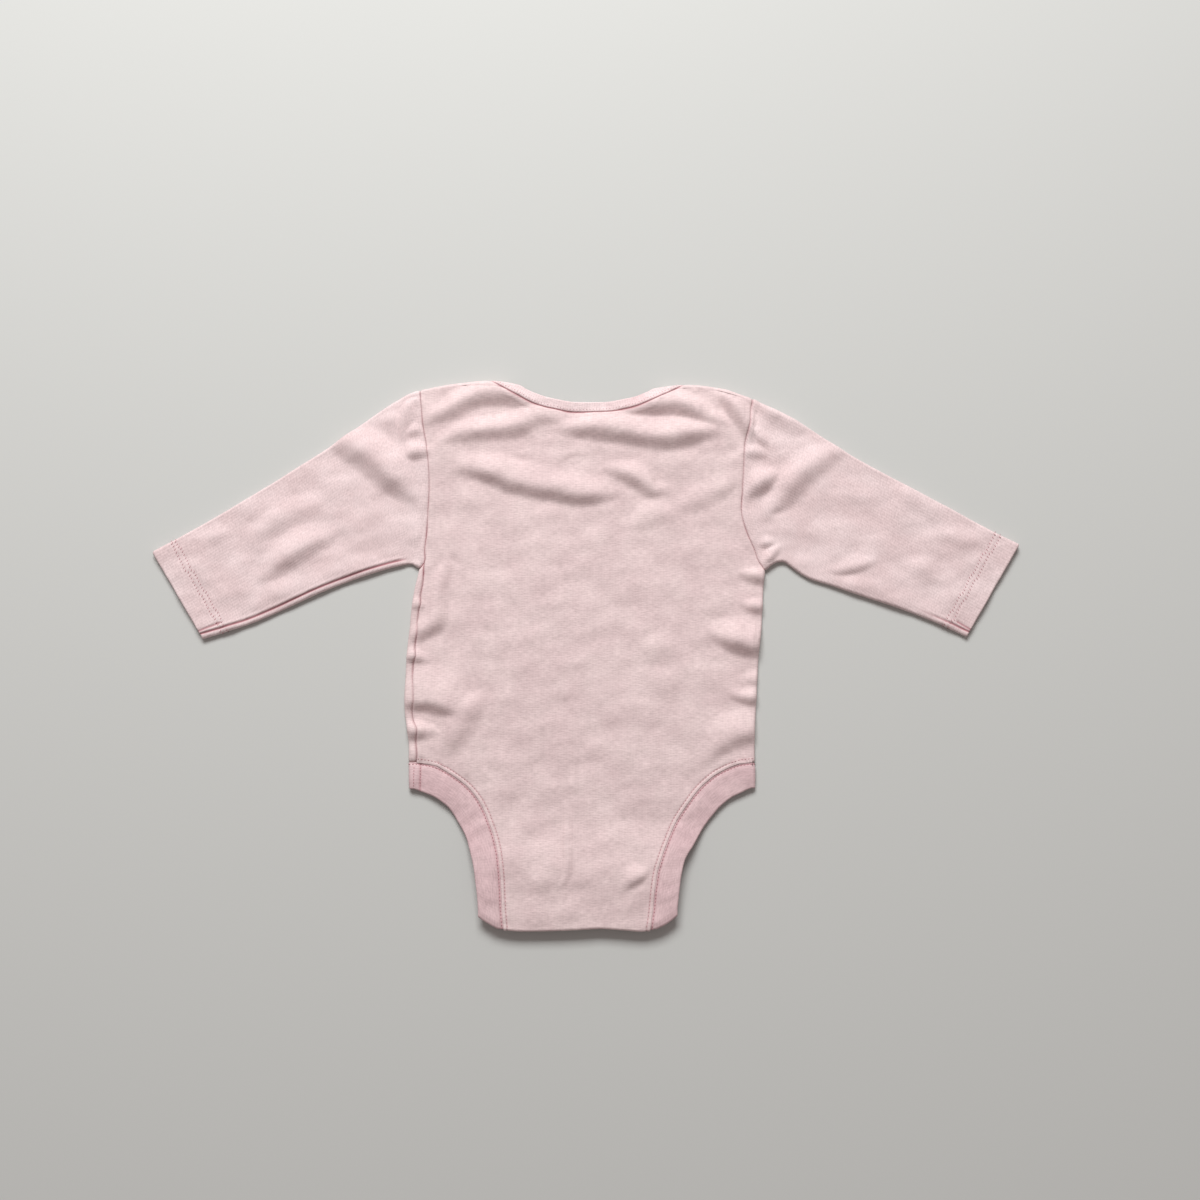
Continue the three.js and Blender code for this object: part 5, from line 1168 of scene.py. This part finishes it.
for side, half in HALVES.items():
    sign = half["sign"]
    edge_path = path_of(LEG_EDGES, side)[::-1]
    seam_x = float(leg_rows[0, 0 if side == "left" else -1, 0]) + sign * SEAM_GAP
    tab_x = mix(seam_x, edge_path[0][0], band_shares)
    tab_fold = crotch_fold(tab_x)
    turns = np.linspace(0, 1, TURN_ROWS + 1)[:, None]
    past = np.concatenate([
        half_turn(tab_fold)
        + np.linspace(1, 0, TAB_ROWS_OF_BAND + 1)[:-1, None] * (TAB_END - tab_fold["y"]),
        turns[::-1] * half_turn(tab_fold)])
    tab_part, _ = round_fold(tab_fold, past)

    arch_share = np.linspace(0, 1, ARCH_ROWS + 1)[1:]
    seam_line_of_arch = along(leg_seam_path(side)[::-1], mix(0.02, 1, arch_share))
    to_band = left_of(seam_line_of_arch) * -sign
    inner = seam_line_of_arch + to_band * half_gap
    outer_edge = along(edge_path, arch_share)
    arch = raised_to(upper_height, mix(inner[:, None], outer_edge[:, None], band_shares[:, None]))

    side_line = side_fold(side, mix(LEG_TOP - SEAM_GAP, edge_path[-1][1], band_shares))
    turn_part, turned_share = round_fold(side_line, turns * half_turn(side_line))

    front_line = along(front_leg_path(side), np.linspace(0, 1, FRONT_ROWS_OF_BAND + 1)[1:])
    outward = sign * left_of(front_line)
    outward[-1] = [sign, 0]
    front_part = raised_to(front_height, front_line[:, None] + outward[:, None] * mix(
        half_gap, BAND_WIDTH, band_shares)[:, None])

    grid = np.concatenate([tab_part, arch, turn_part, front_part])
    under = np.zeros(grid.shape[:2])
    under[-len(front_part):] = 1
    under[-len(front_part) - len(turn_part):-len(front_part)] = turned_share
    middle_line = grid[:, BAND_COLUMNS // 2]
    beat = 2 * np.pi * lengths_along(middle_line) / BAND_PUCKER_LENGTH
    ripple = np.sin(beat + 1.4 * np.sin(beat * 0.31)) * (0.6 + 0.4 * np.sin(beat * 0.23 + sign))
    pucker = BAND_PUCKER * ripple[:, None] * np.sin(np.pi * band_shares) ** BAND_PUCKER_SHAPE
    on_tab = (np.arange(len(grid)) < len(tab_part))[:, None]
    flatness = np.where(on_tab, TAB_FLATNESS, 1.0) * mix(1, UNDER_FLATNESS, under)
    cloth = Cloth()
    index = cloth.add(
        grid, strip_grain(middle_line, band_shares, BAND_WIDTH),
        WALL / 2 + BAND_EXTRA * (1 - under) * np.where(on_tab, 0.5, 1.0)
        + (crown(band_shares) + pucker) * flatness,
        WALL / 2 + BAND_EXTRA * under * 0.9, flipped=side == "left")

    def band_relief(points, away, near):
        """The band is drawn down to the seam by its stitches, and its other edge is a free fold."""
        far = np.abs(distance_to(leg_seam_path(side), points[:, 0], points[:, 1])[0])
        # The stitch row's groove gets painted shade.
        groove, shade = sunk_row(far, BAND_ROW, BAND_GROOVE)
        drawn = BAND_DRAWN * (1 - ramp(far, BAND_DRAWN_RAMP))
        upper = points[:, 2] > UPPER_LAYER
        if side == "left":
            join = dent(points[:, 0] - BAND_JOIN, BAND_JOIN_WIDTH)
            # The join across the left band is a groove with painted shade too.
            groove, shade = groove - BAND_JOIN_DEPTH * join, np.maximum(shade, BAND_JOIN_SHADE * join)
        return np.where(upper, groove - drawn, 0), np.where(upper, shade, 0), upper & (far < 1)

    piece = cloth.shell("band_of_leg_" + side, band_relief, band_rib)
    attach(piece, "root")
    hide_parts("leg_band_" + side)
    bands[side] = {"cloth": cloth, "index": index, "piece": piece,
                   "panel_line": seam_line_of_arch - to_band * PANEL_ROW,
                   "front_line": front_line - sign * left_of(front_line) * PANEL_ROW}

# The press studs: three of plain pressed metal. A cap and socket sit on the front's flap, a stud
# and ring on the back's tab, and they are closed.

SNAP_Y = -145.5
SNAP_SPACING = 27
SNAP_SIDES = 40
CAP = [(0, 0.12), (2.6, 0.12), (3.1, 0.0), (4.2, 0.0), (4.75, 0.3), (4.5, 0.7), (1.6, 0.7), (1.6, 2.3),
       (4.0, 2.3), (4.25, 2.5), (4.25, 2.9), (4.0, 3.1), (1.7, 3.1), (1.5, 2.9), (1.5, 2.6), (0, 2.6)]
STUD = [(0, 2.75), (0.9, 2.75), (1.2, 2.95), (1.2, 3.4), (4.0, 3.4), (4.2, 3.55), (4.2, 3.9), (1.6, 3.9),
        (1.6, 5.5), (4.0, 5.5), (4.2, 5.65), (4.2, 5.85), (4.0, 6.0), (0, 6.0)]


def pressed_metal():
    """Nickel-plated brass, pressed and tumbled: bright, with faint handling marks."""
    material, tree = new_material("plated metal, press studs")
    place = put(tree, "ShaderNodeTexCoord").outputs["Object"]
    marks = put(tree, "ShaderNodeTexNoise", Vector=place, Scale=900.0, Detail=3.0).outputs["Fac"]
    rough = put(tree, "ShaderNodeMapRange", Value=marks, _1=0.3, _2=0.7, _3=0.24, _4=0.42).outputs[0]
    tone = put(tree, "ShaderNodeMix", {"data_type": "RGBA"}, _0=marks, _6=linear("#B4B6B8"),
               _7=linear("#CFD0D0")).outputs[2]
    bump = put(tree, "ShaderNodeBump", Height=marks, Distance=0.02 * MM, Strength=0.6).outputs[0]
    shader = put(tree, "ShaderNodeBsdfPrincipled", Base_Color=tone, Metallic=1.0, Roughness=rough,
                 Normal=bump)
    put(tree, "ShaderNodeOutputMaterial", Surface=shader.outputs[0])
    return material


def turned_part(name, profile, x, material):
    """A round part turned from its profile, as one closed mesh."""
    angles = np.linspace(0, 2 * np.pi, SNAP_SIDES + 1)[:-1]
    corners, rings = [], []
    for radius, z in profile:
        spots = angles if radius else angles[:1]
        rings.append([len(corners) + i for i in range(len(spots))])
        corners += [((x + radius * np.cos(a)) * MM, (SNAP_Y + radius * np.sin(a)) * MM, z * MM)
                    for a in spots]
    faces = []
    for low, high in zip(rings[:-1], rings[1:]):
        for i in range(SNAP_SIDES):
            face = [low[i % len(low)], low[(i + 1) % len(low)],
                    high[(i + 1) % len(high)], high[i % len(high)]]
            faces.append([v for k, v in enumerate(face) if v != face[k - 1]])
    mesh = bpy.data.meshes.new(name)
    mesh.from_pydata(corners, [], faces)
    mesh.materials.append(material)
    mesh.polygons.foreach_set("use_smooth", np.ones(len(mesh.polygons), bool))
    mesh.set_sharp_from_angle(angle=0.7)
    return place_in_scene(name, mesh)


snap_metal = pressed_metal()
for number in (1, 2, 3):
    x = CROTCH_MIDDLE + SNAP_SPACING * (number - 2)
    for word, profile in (("cap", CAP), ("stud", STUD)):
        piece = turned_part(f"press_stud_{word}_{number}", profile, x, snap_metal)
        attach(piece, "root")
        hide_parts(f"snap_{word}_{number}")

# The sewing: cotton thread in the cloth's rose but darker, partly the thread's own colour and partly
# painted shade of the grooves the stitches sink into. Two rows hold the seam of each leg band, one
# runs along the neck binding, two round each cuff, and short ones lock the ends of the seams.

STITCH_PITCH = 2.0
STITCH_LENGTH = 1.2
THREAD = 0.8
CUFF_PITCH = 2.1
LOCK_PITCH = 1.7
LOCK_LENGTH = 1.3
LOCK_LINES = (-100.6, -96.9)
LOCK_ENDS = (-70.2, -80.4)
LOCK_STATIONS = 12
NECK_ROW = 1.25
thread_rose_and_dimple_shade, thread_tree = new_material("spun cotton thread, rose, with painted dimple shade")
spot = put(thread_tree, "ShaderNodeTexCoord").outputs["Object"]
twist = put(thread_tree, "ShaderNodeTexNoise", Vector=spot, Scale=2600.0, Detail=1.0).outputs["Fac"]
# The thread's rose is darker than the cloth's, partly as painted shade of the dimples the stitches sit
# in.
strand = put(thread_tree, "ShaderNodeMix", {"data_type": "RGBA"}, _0=twist, _6=linear("#B27F86"),
             _7=linear("#C99CA1")).outputs[2]
ply = put(thread_tree, "ShaderNodeBump", Height=twist, Distance=0.05 * MM).outputs[0]
spun = put(thread_tree, "ShaderNodeBsdfPrincipled", Base_Color=strand, Roughness=0.8, Normal=ply)
put(thread_tree, "ShaderNodeOutputMaterial", Surface=spun.outputs[0])


def stitch_tree():
    """Node tree that lays stitches along the lines of a mesh."""
    tree = bpy.data.node_groups.new("Row of stitches", "GeometryNodeTree")
    tree.interface.new_socket("Lines", in_out="INPUT", socket_type="NodeSocketGeometry")
    for name in ("Pitch", "Length", "Thread", "Slant"):
        tree.interface.new_socket(name, in_out="INPUT", socket_type="NodeSocketFloat")
    tree.interface.new_socket("Stitches", in_out="OUTPUT", socket_type="NodeSocketGeometry")
    given = tree.nodes.new("NodeGroupInput").outputs
    line = put(tree, "GeometryNodeMeshToCurve", Mesh=given["Lines"]).outputs[0]
    spaced = put(tree, "GeometryNodeResampleCurve", {"mode": "LENGTH"}, Curve=line,
                 Length=given["Pitch"]).outputs[0]
    bead = put(tree, "GeometryNodeMeshUVSphere", Segments=6, Rings=5, Radius=0.5).outputs["Mesh"]
    tangent = put(tree, "GeometryNodeInputTangent").outputs[0]
    facing = put(tree, "FunctionNodeAlignRotationToVector", {"axis": "X"}, Vector=tangent).outputs[0]
    sway = put(tree, "FunctionNodeRandomValue", {"data_type": "FLOAT"}, _2=-0.12, _3=0.12,
               Seed=11).outputs[1]
    slant = put(tree, "ShaderNodeMath", {"operation": "ADD"}, _0=given["Slant"], _1=sway).outputs[0]
    axis = put(tree, "ShaderNodeCombineXYZ", Z=slant).outputs[0]
    leaning = put(tree, "FunctionNodeEulerToRotation", Euler=axis).outputs[0]
    turned = put(tree, "FunctionNodeRotateRotation", {"rotation_space": "LOCAL"}, Rotation=facing,
                 Rotate_By=leaning).outputs[0]
    size = put(tree, "ShaderNodeCombineXYZ", X=given["Length"], Y=given["Thread"],
               Z=given["Thread"]).outputs[0]
    laid = put(tree, "GeometryNodeInstanceOnPoints", Points=spaced, Instance=bead, Rotation=turned,
               Scale=size).outputs[0]
    real = put(tree, "GeometryNodeRealizeInstances", Geometry=laid).outputs[0]
    named = put(tree, "GeometryNodeSetMaterial", Geometry=real, Material=thread_rose_and_dimple_shade).outputs[0]
    out = tree.nodes.new("NodeGroupOutput")
    tree.links.new(named, out.inputs[0])
    return tree


STITCHING = stitch_tree()


def sew(name, rows):
    """Sews rows of stitches, each a path with its pitch, length, thread and slant, as one piece."""
    parts = []
    for path, pitch, length, thread, slant in rows:
        mesh = bpy.data.meshes.new(name + "_lines")
        mesh.from_pydata((path * MM).tolist(), [(i, i + 1) for i in range(len(path) - 1)], [])
        lines = place_in_scene(name + "_lines", mesh)
        modifier = lines.modifiers.new("stitches", "NODES")
        modifier.node_group = STITCHING
        sizes = {"Pitch": pitch * MM, "Length": length * MM, "Thread": thread * MM, "Slant": slant}
        for item in STITCHING.interface.items_tree:
            if item.name in sizes:
                modifier[item.identifier] = sizes[item.name]
        bpy.context.view_layer.update()
        evaluated = lines.evaluated_get(bpy.context.evaluated_depsgraph_get())
        parts.append(bpy.data.meshes.new_from_object(evaluated))
        bpy.data.objects.remove(lines)
    corners, faces = [], []
    for part in parts:
        first = len(corners)
        corners += [tuple(vertex.co) for vertex in part.vertices]
        faces += [[first + i for i in polygon.vertices] for polygon in part.polygons]
    mesh = bpy.data.meshes.new(name)
    mesh.from_pydata(corners, [], faces)
    mesh.polygons.foreach_set("use_smooth", np.ones(len(mesh.polygons), bool))
    mesh.materials.append(thread_rose_and_dimple_shade)
    piece = place_in_scene(name, mesh)
    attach(piece, "root")
    return piece


def drop_onto(piece, plan, from_below=False):
    """Puts a line given in plan on the outside of a piece, seen from above or below."""
    tree = BVHTree.FromPolygons(
        [v.co for v in piece.data.vertices], [p.vertices for p in piece.data.polygons])
    height, way = (-1.0, 1) if from_below else (1.0, -1)
    points = []
    for x, y in plan:
        hit = tree.ray_cast(Vector((x * MM, y * MM, height)), Vector((0, 0, way)))[0]
        if hit is not None:
            points.append((x, y, hit.z / MM))
    return np.array(points)


for side, half in HALVES.items():
    band = bands[side]
    near_seam = int(np.argmin(np.abs(band_shares * BAND_WIDTH - BAND_ROW)))
    band_row = band["cloth"].surface(band["index"][:, near_seam])
    panel_line, front_line = band["panel_line"], band["front_line"]
    panel_row = drop_onto(back_panel, panel_line[np.abs(panel_line[:, 0]) < BEAD_END])
    under_row = drop_onto(front_panel, front_line[front_line[:, 1] > FLAP_END + 2], from_below=True)
    rows = [
        (band_row, STITCH_PITCH, STITCH_LENGTH, THREAD, half["sign"] * 0.5),
        (panel_row, STITCH_PITCH, 1.1, 0.5, 0.0),
        (under_row, STITCH_PITCH, 1.0, 0.34, 0.0),
    ]
    if side == "left":
        for x in LOCK_LINES:
            line = plan_of(np.full(LOCK_STATIONS, x), np.linspace(*LOCK_ENDS, LOCK_STATIONS))
            rows.append((drop_onto(band["piece"], line), LOCK_PITCH, LOCK_LENGTH, 0.55, 0.0))
    sew("stitches_of_leg_band_" + side, rows)

    sleeve = sleeves[side]
    cuff_rows = []
    for at in HEM_ROWS:
        ring = []
        for column in range(sleeve["index"].shape[1]):
            inside = sleeve["inside"][:, column]
            row = int(np.argmin(np.abs(inside - at)))
            ring.append(sleeve["cloth"].surface(sleeve["index"][row, column]))
        cuff_rows.append((np.array(ring), CUFF_PITCH, CUFF_PITCH, 0.5, 1.1 * half["sign"]))
    sew("stitches_of_cuff_" + side, cuff_rows)

near_seam = int(np.argmin(np.abs(across_strip * BINDING_WIDTH - NECK_ROW)))
neck_row = neck_binding.surface(neck_index[:, near_seam])
sew("stitches_of_neck", [(neck_row, STITCH_PITCH, 1.0, 0.3, 0.0)])

for side in HALVES:
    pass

# The surface it lies on: plain, pale and matt, with soft daylight from beyond the neck.

FLOOR_SIZE = 3.0


def plain_floor():
    material, tree = new_material("plain pale surface")
    shader = put(tree, "ShaderNodeBsdfPrincipled", Base_Color=linear("#CBCDCA"), Roughness=0.85)
    put(tree, "ShaderNodeOutputMaterial", Surface=shader.outputs[0])
    return material


reach = FLOOR_SIZE / 2
floor_mesh = bpy.data.meshes.new("floor")
floor_mesh.from_pydata([(-reach, -reach, 0), (reach, -reach, 0), (reach, reach, 0), (-reach, reach, 0)],
                       [], [(0, 1, 2, 3)])
floor_mesh.materials.append(plain_floor())
floor = place_in_scene("floor", floor_mesh)


def aim(thing, place, target):
    thing.location = place
    thing.rotation_mode = "QUATERNION"
    thing.rotation_quaternion = (Vector(target) - Vector(place)).to_track_quat("-Z", "Y")


def softbox(name, place, target, size, power, colour):
    light = bpy.data.lights.new(name, "AREA")
    light.shape, light.size, light.size_y = "RECTANGLE", size[0], size[1]
    light.energy, light.color = power, colour
    aim(place_in_scene(name, light), place, target)


softbox("daylight", (-0.2, 1.5, 1.33), (0, 0, 0), (1.2, 0.7), 44.5, (1.0, 1.0, 1.0))
world = bpy.data.worlds.new("room")
bpy.context.scene.world = world
world.use_nodes = True
world.node_tree.nodes["Background"].inputs["Color"].default_value = linear("#FFF1EE")
world.node_tree.nodes["Background"].inputs["Strength"].default_value = 0.27
bpy.context.scene.view_settings.view_transform = "Standard"

CAMERA_AIM = (0.0085, 0.0295, 0.0)
CAMERA_PLACE = (0.0085, -0.0609, 0.7143)
camera = place_in_scene("camera", bpy.data.cameras.new("camera"))
camera.data.lens = 36
camera.data.sensor_width = 36
camera.data.clip_start = 0.05
aim(camera, CAMERA_PLACE, CAMERA_AIM)
bpy.context.scene.camera = camera
